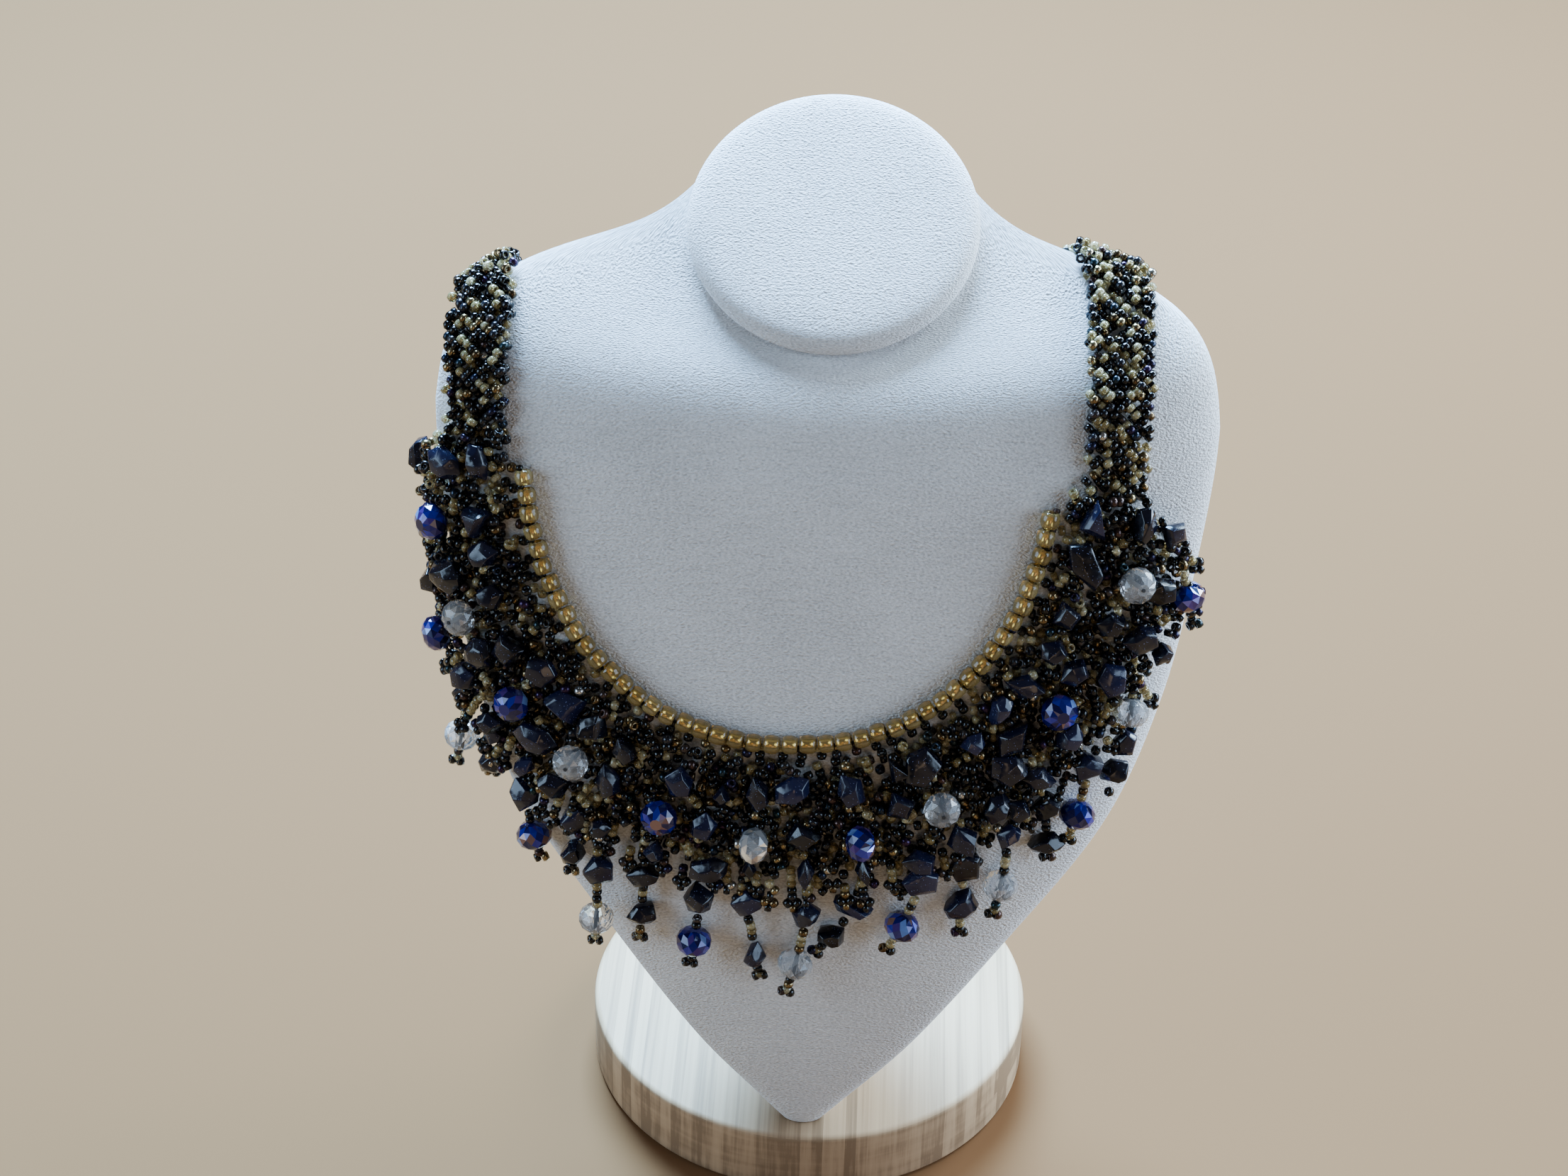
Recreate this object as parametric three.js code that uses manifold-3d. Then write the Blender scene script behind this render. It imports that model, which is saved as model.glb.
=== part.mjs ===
// A beaded bib necklace on a linen neck bust with a round wooden base.
// Millimetres. The origin is the centre of the base's underside, +Z is up, and the chest faces -Y.
import * as THREE from "three";
import { mergeVertices } from "three/addons/utils/BufferGeometryUtils.js";
import Module from "manifold-3d";

const wasm = await Module();
wasm.setup();

// Clearances
const GAP = 0.35;
const SEAT_LIFT = 0.4;

// How finely curves are traced and searched
const NECKLINE_STEPS = 360;
const HALVINGS = 40;
const ALONG_STEP = 0.004;
const SIDE_MISS = 0.05;
const HEIGHT_MISS = 0.5;

// Base and dowel
const BASE_RADIUS = 53.5;
const BASE_HEIGHT = 17;
const BASE_EDGE = 1.2;
const BASE_SIDES = 40;
const DOWEL_RADIUS = 2.5;
const DOWEL_Y = -25;
const DOWEL_SUNK = 11;
const DOWEL_RISE = 45;
const DOWEL_SIDES = 16;

// Bust
const BUST_HEIGHT = 203.2;
const SHOULDER_HALF = 82.5;
const CHEST_DEPTH = 56;
const RINGS_PER_SECTION = 2;
const BUST_SIDES = 28;

// Neck disc
const CAP_RADIUS = 30.6;
const CAP_THICK = 4.5;
const CAP_CROWN = 0.9;
const CAP_SIDES = 36;
const CAP_TILT = THREE.MathUtils.degToRad(35.6);
const NECK_INSET = 0.8;
const NECK_BACK_SHARE = 0.064;

// Neckline: a rounded U in the front view
const NECKLINE_HALF = 56;
const NECKLINE_RISE = 62;
const NECKLINE_DROP = 92.15;
const NECKLINE_SHIFT = -7;
const NECKLINE_POWER = 2.2;

// Amber string
const AMBER_RADIUS = 2.05;
const AMBER_THREAD = 0.9;
const AMBER_COUNT = 45;
const AMBER_SHARE = 0.62;
const AMBER_LEFT = -0.91;
const AMBER_RIGHT = 0.88;
const AMBER_SIDES = 10;
const AMBER_OFFSET = -1.7;

// Netted ground of the bib
const BIB_WIDTH = 28;
const BIB_THICK = 2.4;
const BIB_START = 0.9;
const BIB_LEFT = -1;
const BIB_RIGHT = 0.93;
const BIB_SLANT = 0.1;
const BIB_ROWS = 6;
const CELL = 4.9;

// Straps
const STRAP_WIDTH = 12;
const STRAP_THICK = 2;
const STRAP_SIDE_LEFT = 72;
const STRAP_SIDE_RIGHT = 60;
const STRAP_DOWN = 0.33;
const STRAP_LOW_ROW = 7.7;
const STRAP_SWING = 1.4;
const STRAP_TURN_SHARE = 0.975;
const STRAP_RISE_STEPS = 4;
const STRAP_OVER_STEPS = 6;
const STRAP_BACK_STEPS = 20;
const STRAP_ACROSS = 5;
const STRAP_LIFT = 1.2;

// Clasp
const CLASP_RADIUS = 2.6;
const CLASP_LENGTH = 11;
const CLASP_SIDES = 12;

// Rondelles and strands
const RONDELLE_RADIUS = 4;
const RONDELLE_THICK = 6;
const RONDELLE_HOLE = 0.5;
const RONDELLE_SIDES = 8;
const RONDELLE_TABLE = 0.5;
const RONDELLE_GIRDLE = 0.2;
const STRAND_RADIUS = 1;
const STRAND_SIDES = 5;
const STRAND_STEPS = 5;
const STRAND_BENDS = 12;
const STRAND_SETTLE = 0.25;
const STRAND_LIFT = 2.2;
const STOP_RADIUS = 1.4;
const STOP_SIDES = 10;
const STOP_RINGS = 3;
const DROP_LENGTH = 25;
const CHIP_LENGTH = 10;
const CHIP_THICK = 4;
const CHIP_SINK = 0.6;
const CHIP_TABLE = 0.72;

// Outline of the neck disc: inset from its rim and drop below its face
const CAP_OUTLINE = [
  { inset: 1.6, drop: CAP_THICK },
  { inset: 0, drop: CAP_THICK / 2 },
  { inset: 0.4, drop: 1 },
  { inset: 1.8, drop: 0.1 },
];

// Bust sections from the foot up. height is a share of BUST_HEIGHT, half of SHOULDER_HALF,
// front, edge and back of CHEST_DEPTH; slope is how far a section climbs for each millimetre backwards.
const BUST_SECTIONS = [
  { height: 0, slope: 0, half: 0.06, front: -0.866, edge: -0.804, back: 0.18 },
  { height: 0.033, slope: 0, half: 0.12, front: -0.902, edge: -0.821, back: 0.25 },
  { height: 0.136, slope: 0.01, half: 0.303, front: -0.964, edge: -0.857, back: 0.36 },
  { height: 0.284, slope: 0.02, half: 0.545, front: -1, edge: -0.804, back: 0.43 },
  { height: 0.432, slope: 0.04, half: 0.782, front: -0.982, edge: -0.679, back: 0.46 },
  { height: 0.579, slope: 0.08, half: 0.909, front: -0.911, edge: -0.536, back: 0.46 },
  { height: 0.727, slope: 0.14, half: 0.97, front: -0.795, edge: -0.393, back: 0.45 },
  { height: 0.845, slope: 0.21, half: 1, front: -0.679, edge: -0.268, back: 0.39 },
  { height: 0.9272, slope: 0.336, half: 0.982, front: -0.571, edge: -0.179, back: 0.277 },
  { height: 0.9704, slope: 0.505, half: 0.879, front: -0.493, edge: -0.125, back: 0.188 },
  { height: 0.9875, slope: 0.6, half: 0.703, front: -0.446, edge: -0.071, back: 0.164 },
  { height: 0.9944, slope: 0.652, half: 0.521, front: -0.414, edge: -0.02, back: 0.223 },
  { height: 0.997, slope: 0.679, half: 0.405, front: -0.393, edge: 0.036, back: 0.411 },
];
const SHOULDER_ROW = 7;

// Straps. out is how far a strap runs from the middle. Behind the shoulder it keeps that place for the
// share hold of its way, and it is down at STRAP_LOW_ROW of the bust's rows after the share dip.
const STRAPS = [
  { name: "strap_left", side: -1, out: STRAP_SIDE_LEFT, along: BIB_LEFT, hold: 0.1, dip: 0.22 },
  { name: "strap_right", side: 1, out: STRAP_SIDE_RIGHT, along: BIB_RIGHT, hold: 0, dip: 0.32 },
];

// Chips sewn to the bib. along is a share of the neckline's half length from its lowest point, down a
// share of BIB_WIDTH, long and wide are shares of CHIP_LENGTH, turn is degrees from the downward direction.
const BIB_CHIPS = [
  { along: -0.92, down: 0.52, long: 0.7, wide: 0.6, turn: 60, sides: 6 },
  { along: -0.925, down: 0.25, long: 0.7, wide: 0.4, turn: 88, sides: 6 },
  { along: -0.81, down: 0.31, long: 0.65, wide: 0.5, turn: 80, sides: 3 },
  { along: -0.745, down: 0.33, long: 0.7, wide: 0.55, turn: 20, sides: 5 },
  { along: -0.71, down: 0.7, long: 0.75, wide: 0.7, turn: 0, sides: 8 },
  { along: -0.665, down: 0.38, long: 0.5, wide: 0.45, turn: 30, sides: 5 },
  { along: -0.575, down: 0.7, long: 0.7, wide: 0.65, turn: 15, sides: 7 },
  { along: -0.56, down: 0.46, long: 0.75, wide: 0.7, turn: 25, sides: 4 },
  { along: -0.5, down: 0.31, long: 0.6, wide: 0.55, turn: 70, sides: 5 },
  { along: -0.42, down: 0.36, long: 0.8, wide: 0.7, turn: 40, sides: 4 },
  { along: -0.36, down: 0.33, long: 0.7, wide: 0.6, turn: 10, sides: 4 },
  { along: -0.415, down: 0.74, long: 0.85, wide: 0.6, turn: 80, sides: 6 },
  { along: -0.29, down: 0.34, long: 0.6, wide: 0.45, turn: -30, sides: 5 },
  { along: -0.285, down: 0.64, long: 0.8, wide: 0.5, turn: -20, sides: 5 },
  { along: -0.18, down: 0.37, long: 0.65, wide: 0.6, turn: 10, sides: 5 },
  { along: -0.1, down: 0.38, long: 0.45, wide: 0.35, turn: 0, sides: 4 },
  { along: -0.035, down: 0.33, long: 0.8, wide: 0.45, turn: 0, sides: 5 },
  { along: -0.12, down: 0.68, long: 0.65, wide: 0.5, turn: 25, sides: 5 },
  { along: 0.03, down: 0.27, long: 0.7, wide: 0.55, turn: 80, sides: 6 },
  { along: 0.05, down: 0.67, long: 0.7, wide: 0.6, turn: 88, sides: 4 },
  { along: 0.14, down: 0.32, long: 0.8, wide: 0.5, turn: 5, sides: 5 },
  { along: 0.215, down: 0.52, long: 0.65, wide: 0.6, turn: 0, sides: 4 },
  { along: 0.275, down: 0.27, long: 0.8, wide: 0.65, turn: 60, sides: 5 },
  { along: 0.38, down: 0.33, long: 0.5, wide: 0.4, turn: 90, sides: 5 },
  { along: 0.455, down: 0.26, long: 0.65, wide: 0.4, turn: 80, sides: 6 },
  { along: 0.395, down: 0.68, long: 0.8, wide: 0.7, turn: 20, sides: 5 },
  { along: 0.435, down: 0.5, long: 0.85, wide: 0.55, turn: 85, sides: 4 },
  { along: 0.52, down: 0.27, long: 0.8, wide: 0.5, turn: -20, sides: 4 },
  { along: 0.345, down: 0.88, long: 0.6, wide: 0.5, turn: 80, sides: 6 },
  { along: 0.42, down: 0.9, long: 0.7, wide: 0.45, turn: -15, sides: 6 },
  { along: 0.495, down: 0.82, long: 0.65, wide: 0.45, turn: 90, sides: 5 },
  { along: 0.605, down: 0.3, long: 0.55, wide: 0.5, turn: 40, sides: 5 },
  { along: 0.59, down: 0.53, long: 0.6, wide: 0.5, turn: -30, sides: 5 },
  { along: 0.605, down: 0.8, long: 0.65, wide: 0.55, turn: 60, sides: 5 },
  { along: 0.68, down: 0.25, long: 0.6, wide: 0.55, turn: 60, sides: 4 },
  { along: 0.69, down: 0.6, long: 0.55, wide: 0.5, turn: 20, sides: 5 },
  { along: 0.68, down: 0.88, long: 0.8, wide: 0.6, turn: 0, sides: 5 },
  { along: 0.785, down: 0.24, long: 1, wide: 0.5, turn: 50, sides: 5 },
  { along: 0.87, down: 0.22, long: 0.8, wide: 0.45, turn: 75, sides: 3 },
  { along: 0.875, down: 0.62, long: 0.7, wide: 0.45, turn: 88, sides: 8 },
  { along: 0.865, down: 0.85, long: 0.6, wide: 0.55, turn: 30, sides: 4 },
  { along: 0.765, down: 0.88, long: 0.8, wide: 0.55, turn: 5, sides: 5 },
  { along: -0.91, down: 0.98, long: 0.7, wide: 0.6, turn: 60, sides: 4 },
  { along: -0.79, down: 0.97, long: 0.8, wide: 0.5, turn: 85, sides: 3 },
  { along: -0.7, down: 0.98, long: 0.8, wide: 0.6, turn: 5, sides: 5 },
  { along: -0.55, down: 0.95, long: 0.65, wide: 0.55, turn: 40, sides: 5 },
  { along: -0.345, down: 0.95, long: 0.65, wide: 0.6, turn: 50, sides: 4 },
];

// Rondelles on the bib. facing "front" shows the round face, "side" lies with its hole along the bib.
const BIB_RONDELLES = [
  { glass: "blue", along: -0.81, down: 0.68, facing: "front" },
  { glass: "clear", along: -0.64, down: 0.7, facing: "front" },
  { glass: "blue", along: -0.62, down: 1.02, facing: "front" },
  { glass: "blue", along: -0.48, down: 0.68, facing: "front" },
  { glass: "clear", along: -0.35, down: 0.67, facing: "front" },
  { glass: "blue", along: -0.19, down: 0.7, facing: "front" },
  { glass: "clear", along: -0.035, down: 0.72, facing: "side" },
  { glass: "blue", along: 0.14, down: 0.72, facing: "side" },
  { glass: "clear", along: 0.275, down: 0.66, facing: "front" },
  { glass: "blue", along: 0.52, down: 0.6, facing: "front" },
  { glass: "clear", along: 0.77, down: 0.66, facing: "front" },
];

// Fringe drops. along is where a drop leaves the bib. length, glassAt and lean, the sideways drift by its
// end, are shares of DROP_LENGTH. off, how far it stands off the linen, is a share of RONDELLE_RADIUS.
const DROPS = [
  { along: -0.56, length: 0.96, lean: -0.12, off: 1.2, glass: "clear", glassAt: 0.72 },
  { along: -0.47, length: 0.48, lean: -0.04, off: 0.85 },
  { along: -0.405, length: 0.96, lean: 0.12, off: 1.2, glass: "blue", glassAt: 0.76 },
  { along: -0.31, length: 0.68, lean: -0.04, off: 0.85 },
  { along: -0.27, length: 1.2, lean: -0.04, off: 1.5, glass: "clear", glassAt: 1 },
  { along: -0.2, length: 1, lean: -0.04, off: 0.85 },
  { along: -0.115, length: 1.04, lean: -0.08, off: 1.2, glass: "blue", glassAt: 0.84 },
  { along: -0.045, length: 1.12, lean: 0.12, off: 0.85 },
  { along: 0.055, length: 1.24, lean: -0.16, off: 1.2, glass: "clear", glassAt: 0.96 },
  { along: 0.135, length: 0.88, lean: -0.36, off: 0.85 },
  { along: 0.22, length: 0.92, lean: -0.24, off: 1.2, glass: "blue", glassAt: 0.7 },
  { along: 0.285, length: 0.96, lean: 0, off: 0.85 },
  { along: 0.355, length: 0.96, lean: -0.08, off: 1.2, glass: "clear", glassAt: 0.7 },
  { along: 0.42, length: 0.68, lean: 0.04, off: 0.85 },
  { along: 0.505, length: 0.84, lean: -0.12, off: 1.2, glass: "blue", glassAt: 0.64 },
  { along: 0.615, length: 0.92, lean: -0.16, off: 1.2, glass: "clear", glassAt: 0.26 },
  { along: 0.83, length: 0.6, lean: 0.12, off: 1.35, glass: "blue", glassAt: 0.38 },
];

// Chips on the drops, counted from the left: at is a share of DROP_LENGTH, long and wide of CHIP_LENGTH
const DROP_CHIPS = [
  { drop: 1, at: 0.26, long: 0.6, wide: 0.55 },
  { drop: 2, at: 0.112, long: 0.55, wide: 0.5 },
  { drop: 2, at: 0.38, long: 0.65, wide: 0.6 },
  { drop: 3, at: 0.32, long: 0.75, wide: 0.6 },
  { drop: 4, at: 0.16, long: 0.65, wide: 0.6 },
  { drop: 4, at: 0.5, long: 0.6, wide: 0.5 },
  { drop: 5, at: 0.48, long: 0.65, wide: 0.6 },
  { drop: 6, at: 0.34, long: 0.55, wide: 0.7 },
  { drop: 6, at: 0.78, long: 0.5, wide: 0.6 },
  { drop: 7, at: 0.38, long: 0.7, wide: 0.6 },
  { drop: 8, at: 0.34, long: 0.65, wide: 0.7 },
  { drop: 8, at: 0.92, long: 0.6, wide: 0.45 },
  { drop: 9, at: 0.42, long: 0.6, wide: 0.55 },
  { drop: 10, at: 0.38, long: 0.4, wide: 0.8 },
  { drop: 10, at: 0.7, long: 0.5, wide: 0.6 },
  { drop: 11, at: 0.24, long: 0.6, wide: 0.7 },
  { drop: 12, at: 0.28, long: 0.75, wide: 0.6 },
  { drop: 12, at: 0.68, long: 0.7, wide: 0.7 },
  { drop: 13, at: 0.2, long: 0.6, wide: 0.5 },
  { drop: 14, at: 0.2, long: 0.65, wide: 0.6 },
  { drop: 14, at: 0.56, long: 0.45, wide: 0.75 },
  { drop: 15, at: 0.2, long: 0.6, wide: 0.6 },
  { drop: 16, at: 0.52, long: 0.6, wide: 0.45 },
  { drop: 16, at: 0.78, long: 0.55, wide: 0.6 },
];

// The solid inside a geometry: shared corners merged, empty triangles dropped, faces turned outwards
function solidOf(geometry) {
  const bare = new THREE.BufferGeometry();
  bare.setAttribute("position", geometry.getAttribute("position").clone());
  bare.setIndex(geometry.index);
  const merged = mergeVertices(bare, 1e-4);
  const index = merged.index.array;
  const kept = [];
  for (let i = 0; i < index.length; i += 3) {
    const [a, b, c] = [index[i], index[i + 1], index[i + 2]];
    if (a !== b && b !== c && c !== a) kept.push(a, b, c);
  }
  const build = (triVerts) =>
    new wasm.Manifold(
      new wasm.Mesh({ numProp: 3, vertProperties: merged.attributes.position.array, triVerts }),
    );
  const made = build(new Uint32Array(kept));
  if (made.volume() > 0) return made;
  const turned = [];
  for (let i = 0; i < kept.length; i += 3) turned.push(kept[i], kept[i + 2], kept[i + 1]);
  return build(new Uint32Array(turned));
}

function geometryOf(solid) {
  const mesh = solid.getMesh();
  const geometry = new THREE.BufferGeometry();
  geometry.setAttribute("position", new THREE.BufferAttribute(mesh.vertProperties, 3));
  geometry.setIndex(new THREE.BufferAttribute(mesh.triVerts, 1));
  geometry.computeVertexNormals();
  return geometry;
}

// Closed rings of equal count become a tube with flat ends
function loft(rings) {
  const sides = rings[0].length;
  const points = rings.flat();
  const index = [];
  for (let r = 0; r + 1 < rings.length; r++) {
    for (let s = 0; s < sides; s++) {
      const a = r * sides + s;
      const b = r * sides + ((s + 1) % sides);
      index.push(a, b, b + sides, a, b + sides, a + sides);
    }
  }
  for (const [start, flip] of [[0, true], [(rings.length - 1) * sides, false]]) {
    const middle = new THREE.Vector3();
    for (let s = 0; s < sides; s++) middle.addScaledVector(points[start + s], 1 / sides);
    points.push(middle);
    for (let s = 0; s < sides; s++) {
      const a = start + s;
      const b = start + ((s + 1) % sides);
      index.push(...(flip ? [b, a, points.length - 1] : [a, b, points.length - 1]));
    }
  }
  const geometry = new THREE.BufferGeometry().setFromPoints(points);
  geometry.setIndex(index);
  return solidOf(geometry);
}

// The table's last row is the plane under the neck disc
function bustRows() {
  const rows = BUST_SECTIONS.map((row) => ({
    height: BASE_HEIGHT + GAP + row.height * BUST_HEIGHT,
    slope: row.slope,
    half: row.half * SHOULDER_HALF,
    front: row.front * CHEST_DEPTH,
    edge: row.edge * CHEST_DEPTH,
    back: row.back * CHEST_DEPTH,
  }));
  const radius = CAP_RADIUS - NECK_INSET;
  const reach = radius * Math.cos(CAP_TILT);
  const edge = NECK_BACK_SHARE * CHEST_DEPTH;
  rows.push({
    height: BASE_HEIGHT + GAP + BUST_HEIGHT,
    slope: Math.tan(CAP_TILT),
    half: radius,
    front: edge - reach,
    edge,
    back: edge + reach,
  });
  return rows;
}

const ROWS = bustRows();
const LAST_ROW = ROWS.length - 1;

// A section between the rows, on a smooth curve through them
function sectionAt(level) {
  const at = Math.min(Math.max(level, 0), LAST_ROW - 1e-9);
  const i = Math.floor(at);
  const t = at - i;
  const pick = (k) => ROWS[Math.min(Math.max(k, 0), LAST_ROW)];
  const [a, b, c, d] = [pick(i - 1), pick(i), pick(i + 1), pick(i + 2)];
  const section = {};
  for (const key of Object.keys(b)) {
    const linear = (c[key] - a[key]) * t;
    const square = (2 * a[key] - 5 * b[key] + 4 * c[key] - d[key]) * t * t;
    const cube = (3 * b[key] - a[key] - 3 * c[key] + d[key]) * t * t * t;
    section[key] = (2 * b[key] + linear + square + cube) / 2;
  }
  return section;
}

// A point of the bust: level runs through the rows, around is 0 in front, +90 degrees at +X
function bustPoint(level, around) {
  const s = sectionAt(level);
  const c = Math.cos(around);
  const y = c >= 0 ? s.edge + (s.front - s.edge) * c : s.edge - (s.back - s.edge) * c;
  return new THREE.Vector3(s.half * Math.sin(around), y, s.height + s.slope * y);
}

const STEP = 1e-3;

function slopes(level, around) {
  const rise = bustPoint(level + STEP, around).sub(bustPoint(level - STEP, around));
  const turn = bustPoint(level, around + STEP).sub(bustPoint(level, around - STEP));
  rise.divideScalar(2 * STEP);
  turn.divideScalar(2 * STEP);
  return { rise, turn, out: turn.clone().cross(rise).normalize() };
}

// Walks over the linen from a spot in a direction
function walk(spot, direction, distance) {
  const steps = Math.max(1, Math.ceil(Math.abs(distance)));
  const stride = distance / steps;
  let { level, around } = spot;
  const heading = direction.clone();
  for (let i = 0; i < steps; i++) {
    const { rise, turn, out } = slopes(level, around);
    heading.addScaledVector(out, -heading.dot(out)).normalize();
    const [a, b, c] = [rise.dot(rise), rise.dot(turn), turn.dot(turn)];
    const [g, h] = [heading.dot(rise) * stride, heading.dot(turn) * stride];
    const scale = a * c - b * b;
    level += (g * c - h * b) / scale;
    around += (a * h - b * g) / scale;
  }
  return { level, around };
}

function lifted(spot, lift) {
  const { out } = slopes(spot.level, spot.around);
  return bustPoint(spot.level, spot.around).addScaledVector(out, lift);
}

// The spot on the chest at a given x and z of the front view, found by halving
function chestSpot(x, z) {
  let low = 0;
  let high = LAST_ROW - 3;
  const aroundAt = (level) => Math.asin(THREE.MathUtils.clamp(x / sectionAt(level).half, -1, 1));
  for (let i = 0; i < HALVINGS; i++) {
    const middle = (low + high) / 2;
    if (bustPoint(middle, aroundAt(middle)).z < z) low = middle;
    else high = middle;
  }
  return { level: low, around: aroundAt(low) };
}

// The neckline as spots, with its length from the lowest point to each end
function traceNeckline() {
  const spots = [];
  const count = NECKLINE_STEPS;
  const bend = 2 / NECKLINE_POWER;
  const lowest = BASE_HEIGHT + GAP + BUST_HEIGHT - NECKLINE_DROP;
  for (let i = 0; i <= count; i++) {
    const angle = Math.PI * (i / count - 0.5);
    const side = Math.sign(angle) * Math.abs(Math.sin(angle)) ** bend;
    const x = NECKLINE_SHIFT + NECKLINE_HALF * side;
    const z = lowest + NECKLINE_RISE * (1 - Math.abs(Math.cos(angle)) ** bend);
    const spot = chestSpot(x, z);
    const point = bustPoint(spot.level, spot.around);
    const before = spots[i - 1];
    spots.push({ ...spot, point, run: before ? before.run + point.distanceTo(before.point) : 0 });
  }
  return { spots, lowest: spots[count / 2].run, total: spots[count].run };
}

const NECKLINE = traceNeckline();

function necklineSpot(along) {
  const { spots, lowest, total } = NECKLINE;
  const run = along < 0 ? lowest * (1 + along) : lowest + (total - lowest) * along;
  let i = 0;
  while (i < spots.length - 2 && spots[i + 1].run < run) i++;
  const t = (run - spots[i].run) / (spots[i + 1].run - spots[i].run);
  return {
    level: THREE.MathUtils.lerp(spots[i].level, spots[i + 1].level, t),
    around: THREE.MathUtils.lerp(spots[i].around, spots[i + 1].around, t),
  };
}

// The direction that leaves the neckline at right angles, over the linen
function downFrom(along) {
  const before = necklineSpot(along - ALONG_STEP);
  const after = necklineSpot(along + ALONG_STEP);
  const tangent = lifted(after, 0).sub(lifted(before, 0));
  const here = necklineSpot(along);
  return tangent.cross(slopes(here.level, here.around).out).normalize();
}

function chartSpot(along, down) {
  return walk(necklineSpot(along), downFrom(along), down);
}

// Position and axes at a chart place: across follows the neckline, down leaves it, out leaves the linen
function chartFrame(along, down, lift) {
  const spot = chartSpot(along, down);
  const { out } = slopes(spot.level, spot.around);
  const near = lifted(chartSpot(along, down - 0.5), 0);
  const far = lifted(chartSpot(along, down + 0.5), 0);
  const fall = far.sub(near);
  fall.addScaledVector(out, -fall.dot(out)).normalize();
  const across = fall.clone().cross(out);
  return { position: lifted(spot, lift), across, fall, out };
}

function placed(geometry, position, xAxis, yAxis, zAxis) {
  const matrix = new THREE.Matrix4().makeBasis(xAxis, yAxis, zAxis).setPosition(position);
  return solidOf(geometry.clone().applyMatrix4(matrix));
}

// A polished chip: a few-sided pebble with its edges ground off, long along Y, thick along Z
function chipGeometry(long, wide, thick, sides) {
  const profile = [
    [0, -0.5],
    [CHIP_TABLE / 2, -0.5],
    [0.5, 0],
    [CHIP_TABLE / 2, 0.5],
    [0, 0.5],
  ].map(([radius, height]) => new THREE.Vector2(radius, height));
  const geometry = new THREE.LatheGeometry(profile, sides);
  geometry.rotateY(Math.PI / sides);
  geometry.rotateX(Math.PI / 2);
  geometry.scale(wide, long, thick);
  return geometry;
}

// A faceted rondelle round the Z axis, grown all round by extra
function rondelleGeometry(extra, hole) {
  const half = RONDELLE_THICK / 2 + extra;
  const radius = RONDELLE_RADIUS + extra;
  const table = radius * RONDELLE_TABLE;
  const girdle = half * RONDELLE_GIRDLE;
  const outline = [
    [table, -half],
    [radius, -girdle],
    [radius, girdle],
    [table, half],
  ];
  const ring = hole
    ? [[hole, -half], ...outline, [hole, half], [hole, -half]]
    : [[0, -half], ...outline, [0, half]];
  const profile = ring.map(([r, z]) => new THREE.Vector2(r, z));
  return new THREE.LatheGeometry(profile, RONDELLE_SIDES).rotateX(Math.PI / 2);
}

function makeBase() {
  const top = BASE_HEIGHT;
  const rim = BASE_RADIUS - BASE_EDGE;
  const profile = [
    [0, 0],
    [rim, 0],
    [BASE_RADIUS, BASE_EDGE],
    [BASE_RADIUS, top - BASE_EDGE],
    [rim, top],
    [0, top],
  ].map(([r, z]) => new THREE.Vector2(r, z));
  const disc = solidOf(new THREE.LatheGeometry(profile, BASE_SIDES).rotateX(Math.PI / 2));
  return disc.subtract(dowelShape(GAP));
}

function dowelShape(extra) {
  const length = DOWEL_SUNK + DOWEL_RISE + 2 * extra;
  const radius = DOWEL_RADIUS + extra;
  const geometry = new THREE.CylinderGeometry(radius, radius, length, DOWEL_SIDES);
  geometry.rotateX(Math.PI / 2);
  geometry.translate(0, DOWEL_Y, BASE_HEIGHT + (DOWEL_RISE - DOWEL_SUNK) / 2);
  return solidOf(geometry);
}

function makeBust() {
  const rings = [];
  for (let r = 0; r <= LAST_ROW * RINGS_PER_SECTION; r++) {
    const level = r / RINGS_PER_SECTION;
    const ring = [];
    for (let s = 0; s < BUST_SIDES; s++) ring.push(bustPoint(level, (2 * Math.PI * s) / BUST_SIDES));
    rings.push(ring);
  }
  return loft(rings).subtract(dowelShape(GAP));
}

// The padded disc lies on the neck's sloping end
function makeCap() {
  const profile = [new THREE.Vector2(0, -CAP_THICK)];
  for (const { inset, drop } of CAP_OUTLINE) profile.push(new THREE.Vector2(CAP_RADIUS - inset, -drop));
  profile.push(new THREE.Vector2(0, CAP_CROWN));
  const geometry = new THREE.LatheGeometry(profile, CAP_SIDES).rotateX(Math.PI / 2);
  const neck = ROWS[LAST_ROW];
  const out = new THREE.Vector3(0, -Math.sin(CAP_TILT), Math.cos(CAP_TILT));
  const seat = new THREE.Vector3(0, neck.edge, neck.height + neck.slope * neck.edge);
  seat.addScaledVector(out, CAP_THICK + GAP);
  const xAxis = new THREE.Vector3(1, 0, 0);
  return placed(geometry, seat, xAxis, out.clone().cross(xAxis), out);
}

// Towards its lower edge the bib draws in from both ends, by the share BIB_SLANT of its length
function drawnIn(along, down) {
  return along * (1 - BIB_SLANT * (down / BIB_WIDTH) ** 2);
}

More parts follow.
